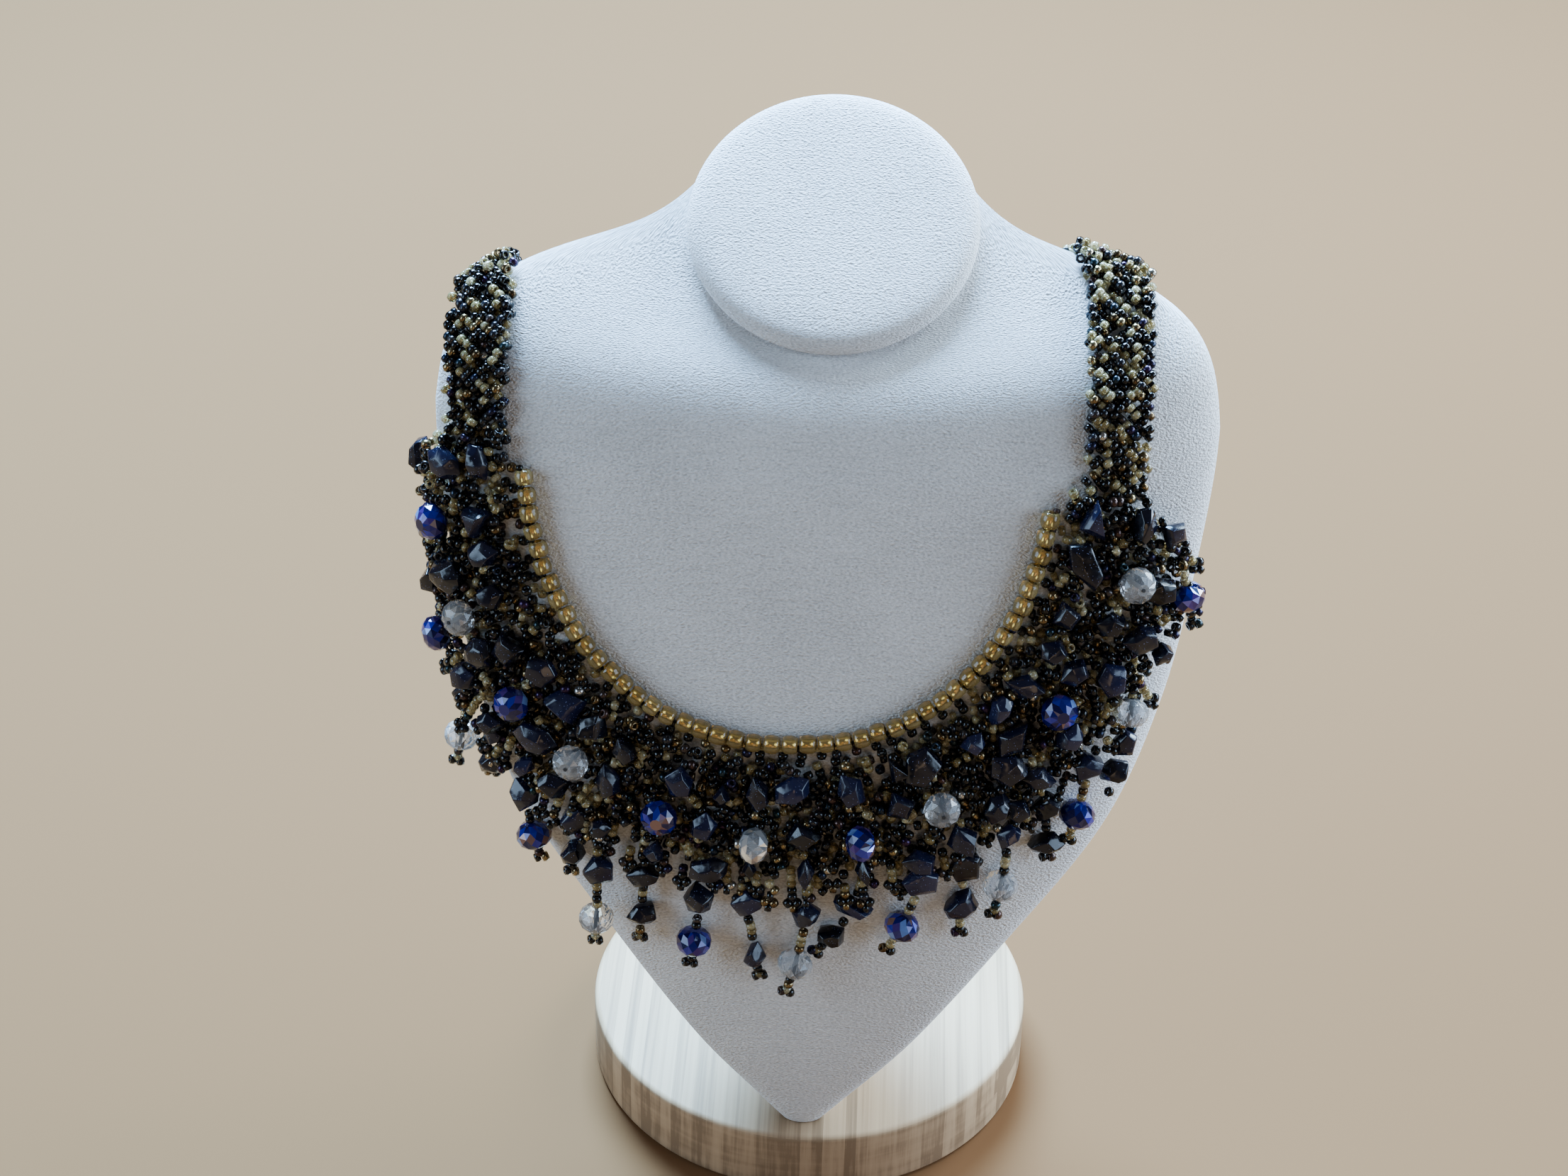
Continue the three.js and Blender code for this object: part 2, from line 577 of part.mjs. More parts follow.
// The netted ground between two shares of the neckline, with its open meshes cut through
function makeGround(from, to) {
  const rows = BIB_ROWS;
  const { lowest, total } = NECKLINE;
  const reach = (a) => (a < 0 ? a * lowest : a * (total - lowest));
  const columns = Math.round((reach(to) - reach(from)) / CELL);
  const inner = [];
  const outer = [];
  for (let i = 0; i <= columns; i++) {
    const along = from + ((to - from) * i) / columns;
    inner.push([]);
    outer.push([]);
    for (let j = 0; j <= rows; j++) {
      const down = BIB_START + ((BIB_WIDTH - BIB_START) * j) / rows;
      const spot = chartSpot(drawnIn(along, down), down);
      inner[i].push(lifted(spot, SEAT_LIFT));
      outer[i].push(lifted(spot, SEAT_LIFT + BIB_THICK));
    }
  }
  const open = (i, j) =>
    (j === 0 && i % 2 === 1 && i < columns - 1) ||
    (j > 1 && j < rows - 1 && j % 2 === 0 && (i + j) % 4 === 1 && i > 0 && i < columns - 1);
  const solid = (i, j) => i >= 0 && j >= 0 && i < columns && j < rows && !open(i, j);
  const points = [...inner.flat(), ...outer.flat()];
  const half = points.length / 2;
  const at = (i, j, top) => (top ? half : 0) + i * (rows + 1) + j;
  const index = [];
  const quad = (a, b, c, d) => index.push(a, b, c, a, c, d);
  for (let i = 0; i < columns; i++) {
    for (let j = 0; j < rows; j++) {
      if (!solid(i, j)) continue;
      quad(at(i, j, 1), at(i, j + 1, 1), at(i + 1, j + 1, 1), at(i + 1, j, 1));
      quad(at(i, j, 0), at(i + 1, j, 0), at(i + 1, j + 1, 0), at(i, j + 1, 0));
      if (!solid(i - 1, j)) quad(at(i, j, 0), at(i, j + 1, 0), at(i, j + 1, 1), at(i, j, 1));
      if (!solid(i + 1, j))
        quad(at(i + 1, j, 1), at(i + 1, j + 1, 1), at(i + 1, j + 1, 0), at(i + 1, j, 0));
      if (!solid(i, j - 1)) quad(at(i, j, 1), at(i + 1, j, 1), at(i + 1, j, 0), at(i, j, 0));
      if (!solid(i, j + 1))
        quad(at(i, j + 1, 0), at(i + 1, j + 1, 0), at(i + 1, j + 1, 1), at(i, j + 1, 1));
    }
  }
  const geometry = new THREE.BufferGeometry().setFromPoints(points);
  geometry.setIndex(index);
  return solidOf(geometry);
}

function bibChip(row) {
  const lift = SEAT_LIFT + BIB_THICK - CHIP_SINK + CHIP_THICK / 2;
  const { position, across, fall, out } = chartFrame(row.along, row.down * BIB_WIDTH, lift);
  const turn = THREE.MathUtils.degToRad(row.turn);
  const long = fall.clone().multiplyScalar(Math.cos(turn)).addScaledVector(across, Math.sin(turn));
  const wide = long.clone().cross(out);
  const size = [row.long * CHIP_LENGTH, row.wide * CHIP_LENGTH, CHIP_THICK];
  const geometry = chipGeometry(...size, row.sides);
  return placed(geometry, position, wide, long, out);
}

function bibRondelle(row, extra, hole) {
  const thick = row.facing === "front" ? RONDELLE_THICK / 2 : RONDELLE_RADIUS;
  const lift = SEAT_LIFT + BIB_THICK + GAP + thick;
  const { position, across, fall, out } = chartFrame(row.along, row.down * BIB_WIDTH, lift);
  const geometry = rondelleGeometry(extra, hole);
  if (row.facing === "front") return placed(geometry, position, across, out.clone().cross(across), out);
  return placed(geometry, position, fall, out, across.clone().negate());
}

// The room that a rondelle needs, open outwards so that nothing overhangs it
function rondelleRoom(row) {
  const { out } = chartFrame(row.along, row.down * BIB_WIDTH, 0);
  const near = bibRondelle(row, GAP, 0);
  const far = near.translate(...out.multiplyScalar(2 * RONDELLE_RADIUS).toArray());
  return wasm.Manifold.hull([near, far]);
}

function makeBib(from, to) {
  let bib = makeGround(from, to);
  const inside = (row) => row.along > from && row.along < to;
  for (const row of BIB_CHIPS.filter(inside)) bib = bib.add(bibChip(row));
  for (const row of BIB_RONDELLES) bib = bib.subtract(rondelleRoom(row));
  return bib;
}

// Amber beads with a thin bead between each two, fused into one string
function makeAmber() {
  const shape = [
    { at: 0, radius: AMBER_THREAD },
    { at: (1 - AMBER_SHARE) / 2, radius: AMBER_RADIUS },
    { at: (1 + AMBER_SHARE) / 2, radius: AMBER_RADIUS },
  ];
  const rings = [];
  for (let bead = 0; bead < AMBER_COUNT; bead++) {
    for (const { at, radius } of shape) {
      const along = AMBER_LEFT + ((AMBER_RIGHT - AMBER_LEFT) * (bead + at)) / AMBER_COUNT;
      const { position, fall, out } = chartFrame(along, AMBER_OFFSET, AMBER_RADIUS + SEAT_LIFT);
      const ring = [];
      for (let s = 0; s < AMBER_SIDES; s++) {
        const angle = (2 * Math.PI * s) / AMBER_SIDES;
        const point = position.clone().addScaledVector(out, radius * Math.cos(angle));
        ring.push(point.addScaledVector(fall, radius * Math.sin(angle)));
      }
      rings.push(ring);
    }
  }
  return loft(rings);
}

// The level above the shoulders where the bust is a given half width
function levelOfHalf(half) {
  let low = SHOULDER_ROW;
  let high = LAST_ROW;
  for (let i = 0; i < HALVINGS; i++) {
    const middle = (low + high) / 2;
    if (sectionAt(middle).half > half) low = middle;
    else high = middle;
  }
  return low;
}

// Spots of a strap: up the chest from the bib's end, over the shoulder, then across behind the neck
function strapRoute({ side, out, along, hold, dip }) {
  const spotAt = (x, level) => {
    const around = Math.asin(Math.min(x / sectionAt(level).half, 1));
    return { level, around: side * (Math.PI - around) };
  };
  const foot = lifted(chartSpot(along, BIB_WIDTH * STRAP_DOWN), 0).z + GAP;
  const turnFrom = Math.asin(out / (STRAP_TURN_SHARE * SHOULDER_HALF));
  const over = [];
  for (let i = 0; i <= STRAP_OVER_STEPS; i++) {
    const around = THREE.MathUtils.lerp(turnFrom, Math.PI / 2, i / STRAP_OVER_STEPS);
    over.push({ level: levelOfHalf(out / Math.sin(around)), around: side * around });
  }
  const top = lifted(over[0], 0).z;
  const rise = [];
  for (let i = 0; i < STRAP_RISE_STEPS; i++) {
    rise.push(chestSpot(side * out, THREE.MathUtils.lerp(foot, top, i / STRAP_RISE_STEPS)));
  }
  const back = [];
  const ridge = levelOfHalf(out);
  for (let i = 1; i <= STRAP_BACK_STEPS; i++) {
    const t = i / STRAP_BACK_STEPS;
    const swung = (Math.max(0, t - hold) / (1 - hold)) ** STRAP_SWING;
    const x = THREE.MathUtils.lerp(out, CLASP_LENGTH / 2 + GAP, swung);
    const sunk = THREE.MathUtils.smoothstep(t, 0, dip);
    back.push(spotAt(x, THREE.MathUtils.lerp(ridge, STRAP_LOW_ROW, sunk)));
  }
  return [...rise, ...over, ...back];
}

function makeStrap(row) {
  const route = strapRoute(row);
  const rings = route.map((spot, i) => {
    const before = route[Math.max(i - 1, 0)];
    const after = route[Math.min(i + 1, route.length - 1)];
    const { out } = slopes(spot.level, spot.around);
    const tangent = lifted(after, 0).sub(lifted(before, 0)).normalize();
    const across = tangent.cross(out).normalize();
    const bottom = [];
    const top = [];
    for (let k = 0; k <= STRAP_ACROSS; k++) {
      const place = walk(spot, across, STRAP_WIDTH * (k / STRAP_ACROSS - 0.5));
      bottom.push(lifted(place, STRAP_LIFT));
      top.unshift(lifted(place, STRAP_LIFT + STRAP_THICK));
    }
    return [...bottom, ...top];
  });
  return loft(rings);
}

function makeClasp() {
  const centre = lifted({ level: STRAP_LOW_ROW, around: Math.PI }, STRAP_LIFT + CLASP_RADIUS);
  const length = CLASP_LENGTH - GAP;
  const geometry = new THREE.CylinderGeometry(CLASP_RADIUS, CLASP_RADIUS, length, CLASP_SIDES);
  geometry.rotateZ(Math.PI / 2);
  geometry.translate(centre.x, centre.y, centre.z);
  return solidOf(geometry);
}

// The linen's front at an x and z, or undefined past the chest's edge
function linenFront(x, z) {
  const spot = chestSpot(x, z);
  const point = bustPoint(spot.level, spot.around);
  const met = Math.abs(point.x - x) < SIDE_MISS && Math.abs(point.z - z) < HEIGHT_MISS;
  return met ? point.y : undefined;
}

// A strand hangs straight down from the bib's edge and rests against the linen where there is any
function hangingPath(row) {
  const slant = Math.abs(chartFrame(row.along, BIB_WIDTH, 0).across.z);
  const below = BIB_WIDTH + GAP + STRAND_RADIUS * slant;
  const start = chartFrame(row.along, below, STRAND_LIFT).position;
  const path = [];
  let y = start.y;
  for (let i = 0; i <= STRAND_BENDS; i++) {
    const t = i / STRAND_BENDS;
    const x = start.x + row.lean * DROP_LENGTH * t * t;
    const z = start.z - row.length * DROP_LENGTH * t;
    const front = linenFront(x, z);
    const settled = THREE.MathUtils.smoothstep(t, 0, STRAND_SETTLE);
    const off = THREE.MathUtils.lerp(STRAND_LIFT, row.off * RONDELLE_RADIUS, settled);
    if (front !== undefined) y = Math.min(y, front - off);
    path.push(new THREE.Vector3(x, y, z));
  }
  return new THREE.CatmullRomCurve3(path);
}

function makeDrop(row, chips) {
  const curve = hangingPath(row);
  const shape = new THREE.Shape();
  for (let s = 0; s < STRAND_SIDES; s++) {
    const angle = (2 * Math.PI * s) / STRAND_SIDES;
    const [x, y] = [STRAND_RADIUS * Math.cos(angle), STRAND_RADIUS * Math.sin(angle)];
    if (s === 0) shape.moveTo(x, y);
    else shape.lineTo(x, y);
  }
  shape.closePath();
  const along = { steps: STRAND_STEPS, extrudePath: curve, bevelEnabled: false };
  let drop = solidOf(new THREE.ExtrudeGeometry(shape, along));
  const outward = new THREE.Vector3(0, -1, 0);
  const frameAt = (at) => {
    const t = Math.min(at / row.length, 1);
    const position = curve.getPointAt(t);
    const fall = curve.getTangentAt(t);
    const across = fall.clone().cross(outward).normalize();
    return { position, fall, across, out: across.clone().cross(fall) };
  };
  chips.forEach((chip, i) => {
    const { position, fall, across, out } = frameAt(chip.at);
    const size = [chip.long * CHIP_LENGTH, chip.wide * CHIP_LENGTH, CHIP_THICK];
    const geometry = chipGeometry(...size, 5 + (i % 2));
    drop = drop.add(placed(geometry, position, across, fall.clone().negate(), out));
  });
  if (row.glass) {
    const { position, fall, across, out } = frameAt(row.glassAt);
    drop = drop.add(placed(rondelleGeometry(0, 0), position, across, out.clone().negate(), fall));
  }
  const stop = new THREE.SphereGeometry(STOP_RADIUS, STOP_SIDES, STOP_RINGS);
  const end = curve.getPointAt(1);
  stop.translate(end.x, end.y, end.z);
  return drop.add(solidOf(stop));
}

const COLOURS = {
  linen: new THREE.MeshStandardMaterial({ color: 0xb9bac0, roughness: 0.9, metalness: 0 }),
  bamboo: new THREE.MeshStandardMaterial({ color: 0xc9b291, roughness: 0.55, metalness: 0 }),
  brass: new THREE.MeshStandardMaterial({ color: 0x9a8355, roughness: 0.35, metalness: 1 }),
  net: new THREE.MeshStandardMaterial({ color: 0x17161c, roughness: 0.25, metalness: 0.2 }),
  amber: new THREE.MeshStandardMaterial({ color: 0x9c6a22, roughness: 0.15, metalness: 0.1 }),
  blue: new THREE.MeshStandardMaterial({ color: 0x1b1d8a, roughness: 0.08, metalness: 0.2 }),
  clear: new THREE.MeshStandardMaterial({ color: 0xdedede, roughness: 0.05, metalness: 0 }),
  stone: new THREE.MeshStandardMaterial({ color: 0x10131f, roughness: 0.15, metalness: 0.1 }),
};

const necklaceOnBust = new THREE.Group();

function addPiece(name, solid, material) {
  const mesh = new THREE.Mesh(geometryOf(solid), material);
  mesh.name = name;
  necklaceOnBust.add(mesh);
}

const seam = GAP / (2 * NECKLINE.lowest);
addPiece("wood_base", makeBase(), COLOURS.bamboo);
addPiece("base_dowel", dowelShape(0), COLOURS.bamboo);
addPiece("linen_bust", makeBust(), COLOURS.linen);
addPiece("neck_cap", makeCap(), COLOURS.linen);
addPiece("bib_left", makeBib(BIB_LEFT, -seam), COLOURS.net);
addPiece("bib_right", makeBib(seam, BIB_RIGHT), COLOURS.net);
addPiece("amber_row", makeAmber(), COLOURS.amber);
for (const row of STRAPS) addPiece(row.name, makeStrap(row), COLOURS.net);
addPiece("clasp", makeClasp(), COLOURS.brass);
BIB_RONDELLES.forEach((row, i) => {
  const name = `rondelle_${row.glass}_${i + 1}`;
  addPiece(name, bibRondelle(row, 0, RONDELLE_HOLE), COLOURS[row.glass]);
});
DROPS.forEach((row, i) => {
  const chips = DROP_CHIPS.filter((chip) => chip.drop === i + 1);
  addPiece(`drop_${i + 1}`, makeDrop(row, chips), COLOURS.stone);
});

export default necklaceOnBust;
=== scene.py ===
import math

import bmesh
import bpy
import numpy as np
from mathutils import Matrix, Vector, kdtree


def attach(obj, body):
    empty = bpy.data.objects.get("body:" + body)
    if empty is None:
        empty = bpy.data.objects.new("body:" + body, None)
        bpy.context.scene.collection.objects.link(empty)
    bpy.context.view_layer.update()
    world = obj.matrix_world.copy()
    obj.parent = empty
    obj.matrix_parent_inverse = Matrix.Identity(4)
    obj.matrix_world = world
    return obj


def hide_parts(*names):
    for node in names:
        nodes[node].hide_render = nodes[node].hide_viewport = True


# A beaded bib necklace on its linen neck bust and wooden base. Lengths are in millimetres unless a
# note says otherwise, and mm turns them into metres.

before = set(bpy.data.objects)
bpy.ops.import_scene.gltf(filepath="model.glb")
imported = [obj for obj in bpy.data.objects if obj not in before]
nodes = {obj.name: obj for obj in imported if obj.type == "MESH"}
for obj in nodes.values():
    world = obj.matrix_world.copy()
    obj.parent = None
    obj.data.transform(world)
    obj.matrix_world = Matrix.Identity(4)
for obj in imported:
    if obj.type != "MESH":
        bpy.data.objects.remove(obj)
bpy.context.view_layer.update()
mm = 0.001
gap = 0.35   # clearance between neighbouring pieces, in millimetres
rng = np.random.default_rng(7)   # one seed for all the strewing, so every run is the same


# the photograph's camera

cameraSpec = {"yaw": 2.06, "pitch": 33.05, "roll": 1.26, "distance": 608.4, "aim": (-8.58, 0, 134.9),
              "lens": 61.84, "sensor": 36}


def makeCamera(spec):
    yaw, pitch, roll = (math.radians(spec[k]) for k in ("yaw", "pitch", "roll"))
    back = Vector((math.sin(yaw) * math.cos(pitch), -math.cos(yaw) * math.cos(pitch), math.sin(pitch)))
    level = Vector((math.cos(yaw), math.sin(yaw), 0))
    upright = back.cross(level)
    right = math.cos(roll) * level + math.sin(roll) * upright
    up = math.cos(roll) * upright - math.sin(roll) * level
    place = (Vector(spec["aim"]) + back * spec["distance"]) * mm
    data = bpy.data.cameras.new("photoCamera")
    data.lens, data.sensor_width, data.sensor_fit = spec["lens"], spec["sensor"], "HORIZONTAL"
    data.clip_start, data.clip_end = 0.02, 20
    camera = bpy.data.objects.new("photoCamera", data)
    bpy.context.scene.collection.objects.link(camera)
    turn = Matrix((right, up, back)).transposed().to_4x4()
    camera.matrix_world = Matrix.Translation(place) @ turn
    bpy.context.scene.camera = camera


def deselectAll():
    if bpy.context.mode != "OBJECT":
        bpy.ops.object.mode_set(mode="OBJECT")
    bpy.ops.object.select_all(action="DESELECT")


# materials, all made of nodes

def newFinish(name, settings):
    finish = bpy.data.materials.new(name)
    finish.use_nodes = True
    shader = finish.node_tree.nodes["Principled BSDF"]
    for socket, value in settings.items():
        shader.inputs[socket].default_value = value
    return finish, finish.node_tree, shader


def addNode(tree, kind, settings=None, **links):
    # a link goes to the socket of its name, or by number as i0, i1 and so on
    node = tree.nodes.new(kind)
    for key, value in (settings or {}).items():
        setattr(node, key, value)
    for key, value in links.items():
        socket = node.inputs[int(key[1:])] if key[0] == "i" and key[1:].isdigit() else node.inputs[key]
        if isinstance(value, bpy.types.NodeSocket):
            tree.links.new(value, socket)
        else:
            socket.default_value = value
    return node


def rampOf(tree, source, stops, stepped=False):
    ramp = addNode(tree, "ShaderNodeValToRGB", i0=source)
    ramp.color_ramp.interpolation = "CONSTANT" if stepped else "LINEAR"
    while len(ramp.color_ramp.elements) < len(stops):
        ramp.color_ramp.elements.new(0.5)
    for element, (place, colour) in zip(ramp.color_ramp.elements, stops):
        element.position = place
        element.color = (*colour, 1)
    return ramp.outputs[0]


def mathNode(tree, operation, first, second=0.5, third=0.0):
    return addNode(tree, "ShaderNodeMath", {"operation": operation}, i0=first, i1=second, i2=third).outputs[0]


def noiseNode(tree, place, scale, detail=2.0):
    return addNode(tree, "ShaderNodeTexNoise", Vector=place, Scale=scale, Detail=detail).outputs[0]


def objectPlace(tree):
    return addNode(tree, "ShaderNodeTexCoord").outputs["Object"]


def attributeOf(tree, name):
    return addNode(tree, "ShaderNodeAttribute", {"attribute_name": name}).outputs["Fac"]


def bumpInto(tree, shader, height, strength, distance):
    bump = addNode(tree, "ShaderNodeBump", Height=height, Strength=strength, Distance=distance)
    tree.links.new(bump.outputs["Normal"], shader.inputs["Normal"])


clothLook = {"pale": (0.86, 0.86, 0.87), "deep": (0.50, 0.49, 0.49), "bump": 1.0, "depth": 0.0004,
             "shader": {"Roughness": 0.95, "Sheen Weight": 0.2, "Sheen Roughness": 0.5,
                        "Specular IOR Level": 0.15}}


def linenFinish(look):
    finish, tree, shader = newFinish("linenCloth", look["shader"])
    cloth = addNode(tree, "ShaderNodeUVMap", {"uv_map": "cloth"}).outputs[0]   # millimetres over the cloth

    def threads(turn, along, across, detail):
        laid = addNode(tree, "ShaderNodeMapping", Vector=cloth, Rotation=(0, 0, math.radians(turn)),
                       Scale=(along, across, 1))
        return noiseNode(tree, laid.outputs[0], 1.0, detail)

    crepe = mathNode(tree, "ADD", threads(40, 1.3, 2.3, 2.0), threads(-50, 1.5, 2.5, 1.0))
    slubs = mathNode(tree, "ADD", threads(0, 0.1, 1.5, 2.0), threads(90, 0.1, 1.5, 2.0))
    relief = mathNode(tree, "MULTIPLY_ADD", slubs, 0.25, crepe)
    tone = mathNode(tree, "MULTIPLY_ADD", noiseNode(tree, cloth, 0.04, 3.0), 0.2,
                    mathNode(tree, "MULTIPLY", relief, 0.5))
    stops = [(0.55, look["deep"]), (0.90, look["pale"])]
    tree.links.new(rampOf(tree, tone, stops), shader.inputs["Base Color"])
    bumpInto(tree, shader, relief, look["bump"], look["depth"])
    return finish


woodLook = {"pale": (0.47, 0.32, 0.19), "mid": (0.38, 0.25, 0.145), "dark": (0.22, 0.14, 0.08), "strip": 2.6,
            "top": 16.3, "layer": 8.5, "block": 23, "shader": {"Roughness": 0.6, "Specular IOR Level": 0.2}}


def woodFinish(name, look):
    # thin strips glued side by side; the side of the base shows an upper layer with some darker blocks
    finish, tree, shader = newFinish(name, look["shader"])
    place = objectPlace(tree)
    split = addNode(tree, "ShaderNodeSeparateXYZ", i0=place)

    def stretched(scale, detail):
        laid = addNode(tree, "ShaderNodeMapping", Vector=place, Scale=scale)
        return noiseNode(tree, laid.outputs[0], 1.0, detail)

    def perStrip(width):
        number = mathNode(tree, "FLOOR", mathNode(tree, "DIVIDE", split.outputs[0], width * mm))
        return addNode(tree, "ShaderNodeTexWhiteNoise", {"noise_dimensions": "1D"}, W=number).outputs[0]

    grain = stretched((900, 14, 60), 4.0)
    chance = mathNode(tree, "MULTIPLY", perStrip(look["strip"]), 0.26)
    tone = mathNode(tree, "MULTIPLY_ADD", grain, 0.55, chance)
    tone = mathNode(tree, "MULTIPLY_ADD", stretched((40, 4, 400), 2.0), 0.36, tone)
    onSide = mathNode(tree, "LESS_THAN", split.outputs[2], look["top"] * mm)
    inUpper = mathNode(tree, "GREATER_THAN", split.outputs[2], look["layer"] * mm)
    darkBlock = mathNode(tree, "GREATER_THAN", perStrip(look["block"]), 0.6)
    darker = mathNode(tree, "MULTIPLY_ADD", mathNode(tree, "MULTIPLY", darkBlock, inUpper), 0.2, 0.1)
    tone = mathNode(tree, "SUBTRACT", tone, mathNode(tree, "MULTIPLY", onSide, darker))
    stops = [(0.38, look["dark"]), (0.56, look["mid"]), (0.8, look["pale"])]
    tree.links.new(rampOf(tree, tone, stops), shader.inputs["Base Color"])
    bumpInto(tree, shader, grain, 0.15, 0.0002)
    return finish


def beadFinish(name, look):
    # "tint" is a chance value that each bead carries
    finish, tree, shader = newFinish(name, look["shader"])
    tree.links.new(rampOf(tree, attributeOf(tree, "tint"), look["colours"]), shader.inputs["Base Color"])
    bumpInto(tree, shader, noiseNode(tree, objectPlace(tree), 900.0, 1.0), 0.12, 0.0002)
    return finish


beadLooks = {
    "blackBead": {"colours": [(0, (0.001, 0.001, 0.0012)), (0.8, (0.002, 0.002, 0.003)),
                              (1, (0.01, 0.01, 0.014))],
                  "shader": {"Roughness": 0.1, "Specular IOR Level": 0.4}},
    "irisBead": {"colours": [(0, (0.03, 0.01, 0.04)), (0.3, (0.012, 0.014, 0.035)), (0.5, (0.012, 0.03, 0.035)),
                             (0.7, (0.06, 0.03, 0.025)), (1, (0.05, 0.045, 0.045))],
                 "shader": {"Roughness": 0.2, "Metallic": 0.7}},
    "bronzeBead": {"colours": [(0, (0.08, 0.05, 0.025)), (0.5, (0.18, 0.12, 0.055)), (0.85, (0.30, 0.23, 0.12)),
                               (1, (0.5, 0.5, 0.5))],
                   "shader": {"Roughness": 0.2, "Metallic": 0.9}},
    "smokyBead": {"colours": [(0, (0.36, 0.26, 0.10)), (0.5, (0.54, 0.44, 0.21)), (1, (0.76, 0.68, 0.43))],
                  "shader": {"Roughness": 0.08, "IOR": 1.5, "Transmission Weight": 0.72}}}
amberLook = {"colours": [(0, (0.56, 0.40, 0.14)), (1, (0.74, 0.57, 0.25))],
             "shader": {"Roughness": 0.06, "IOR": 1.5, "Transmission Weight": 0.85}}

stoneLook = {"body": [(0.25, (0.0014, 0.0016, 0.004)), (0.6, (0.004, 0.005, 0.016)),
                      (0.95, (0.01, 0.013, 0.045))],
             "fleck": (0.16, 0.19, 0.34, 1), "fleckShare": 0.07,
             "gloss": [(0.35, (0.12,) * 3), (0.7, (0.3,) * 3)], "shader": {"Roughness": 0.16}}


def stoneFinish(look):
    # near black glass with tiny glitter flecks, polished unevenly
    finish, tree, shader = newFinish("darkGoldstone", look["shader"])
    place = objectPlace(tree)
    cells = addNode(tree, "ShaderNodeTexVoronoi", Vector=place, Scale=4200.0)
    chosen = addNode(tree, "ShaderNodeSeparateXYZ", i0=cells.outputs["Color"]).outputs[0]
    near = mathNode(tree, "LESS_THAN", cells.outputs["Distance"], 0.3)
    fleck = mathNode(tree, "MULTIPLY", near, mathNode(tree, "GREATER_THAN", chosen, 1 - look["fleckShare"]))
    blend = mathNode(tree, "MULTIPLY_ADD", noiseNode(tree, place, 160.0), 0.6,
                     mathNode(tree, "MULTIPLY", attributeOf(tree, "tint"), 0.5))
    bright = addNode(tree, "ShaderNodeMix", {"data_type": "RGBA"}, Factor=fleck)
    tree.links.new(rampOf(tree, blend, look["body"]), bright.inputs[6])
    bright.inputs[7].default_value = look["fleck"]
    tree.links.new(bright.outputs[2], shader.inputs["Base Color"])
    tree.links.new(rampOf(tree, noiseNode(tree, place, 420.0), look["gloss"]), shader.inputs["Roughness"])
    bumpInto(tree, shader, noiseNode(tree, place, 230.0), 0.5, 0.0009)
    return finish


crystalLooks = {   # stepped colours: each facet takes one of them
    "blueCrystal": {"colours": [(0, (0.002, 0.002, 0.05)), (0.3, (0.003, 0.004, 0.12)),
                                # the copper and violet steps are the glass's coating on some facets; the last,
                                # palest blue step is painted reflection of the sky on a few facets
                                (0.6, (0.008, 0.012, 0.26)), (0.82, (0.20, 0.10, 0.08)),
                                (0.88, (0.05, 0.02, 0.16)), (0.95, (0.12, 0.2, 0.45))],
                    "shader": {"Roughness": 0.08, "Metallic": 0.3, "Coat Weight": 0.5, "Coat Roughness": 0.08}},
    # the clear glass has no colour of its own: its grey steps are painted shade and its white step is painted
    # reflection on some facets
    "clearCrystal": {"colours": [(0, (0.45, 0.48, 0.52)), (0.3, (0.8, 0.82, 0.86)), (0.6, (1, 1, 1))],
                     "shader": {"Roughness": 0.0, "IOR": 1.5, "Transmission Weight": 0.8}}}


def crystalFinish(name, look):
    finish, tree, shader = newFinish(name, look["shader"])
    tree.links.new(rampOf(tree, attributeOf(tree, "facet"), look["colours"], True), shader.inputs["Base Color"])
    return finish


plainLooks = {
    "goldLining": {"colour": (0.92, 0.74, 0.38), "speck": 1500, "shader": {"Roughness": 0.22, "Metallic": 1.0}},
    "brassMetal": {"colour": (0.55, 0.42, 0.22), "speck": 300, "shader": {"Roughness": 0.35, "Metallic": 1.0}},
    "darkThread": {"colour": (0.02, 0.02, 0.022), "speck": 900, "shader": {"Roughness": 0.7}},
    "floorPaint": {"colour": (0.15, 0.068, 0.027), "speck": 0.6,
                   "shader": {"Roughness": 0.95, "Specular IOR Level": 0.1}}}


def plainFinish(name):
    look = plainLooks[name]
    finish, tree, shader = newFinish(name, look["shader"])
    dim = tuple(0.8 * c for c in look["colour"])
    specks = noiseNode(tree, objectPlace(tree), look["speck"], 3.0)
    patches = rampOf(tree, specks, [(0.3, dim), (0.7, look["colour"])])
    tree.links.new(patches, shader.inputs["Base Color"])
    return finish


linenCloth = linenFinish(clothLook)
bambooWood = woodFinish("bambooWood", woodLook)
dowelWood = woodFinish("dowelWood", woodLook)
beadFinishes = [beadFinish(name, look) for name, look in beadLooks.items()]
black, iris, bronze, smoky = range(4)
amberGlass = beadFinish("amberGlass", amberLook)
goldstone = stoneFinish(stoneLook)
blueCrystal, clearCrystal = (crystalFinish(name, look) for name, look in crystalLooks.items())
goldLining, brassMetal, darkThread, floorPaint = (plainFinish(name) for name in plainLooks)
print("finishes ready")


# the form of the bust, which everything else lies on, in millimetres

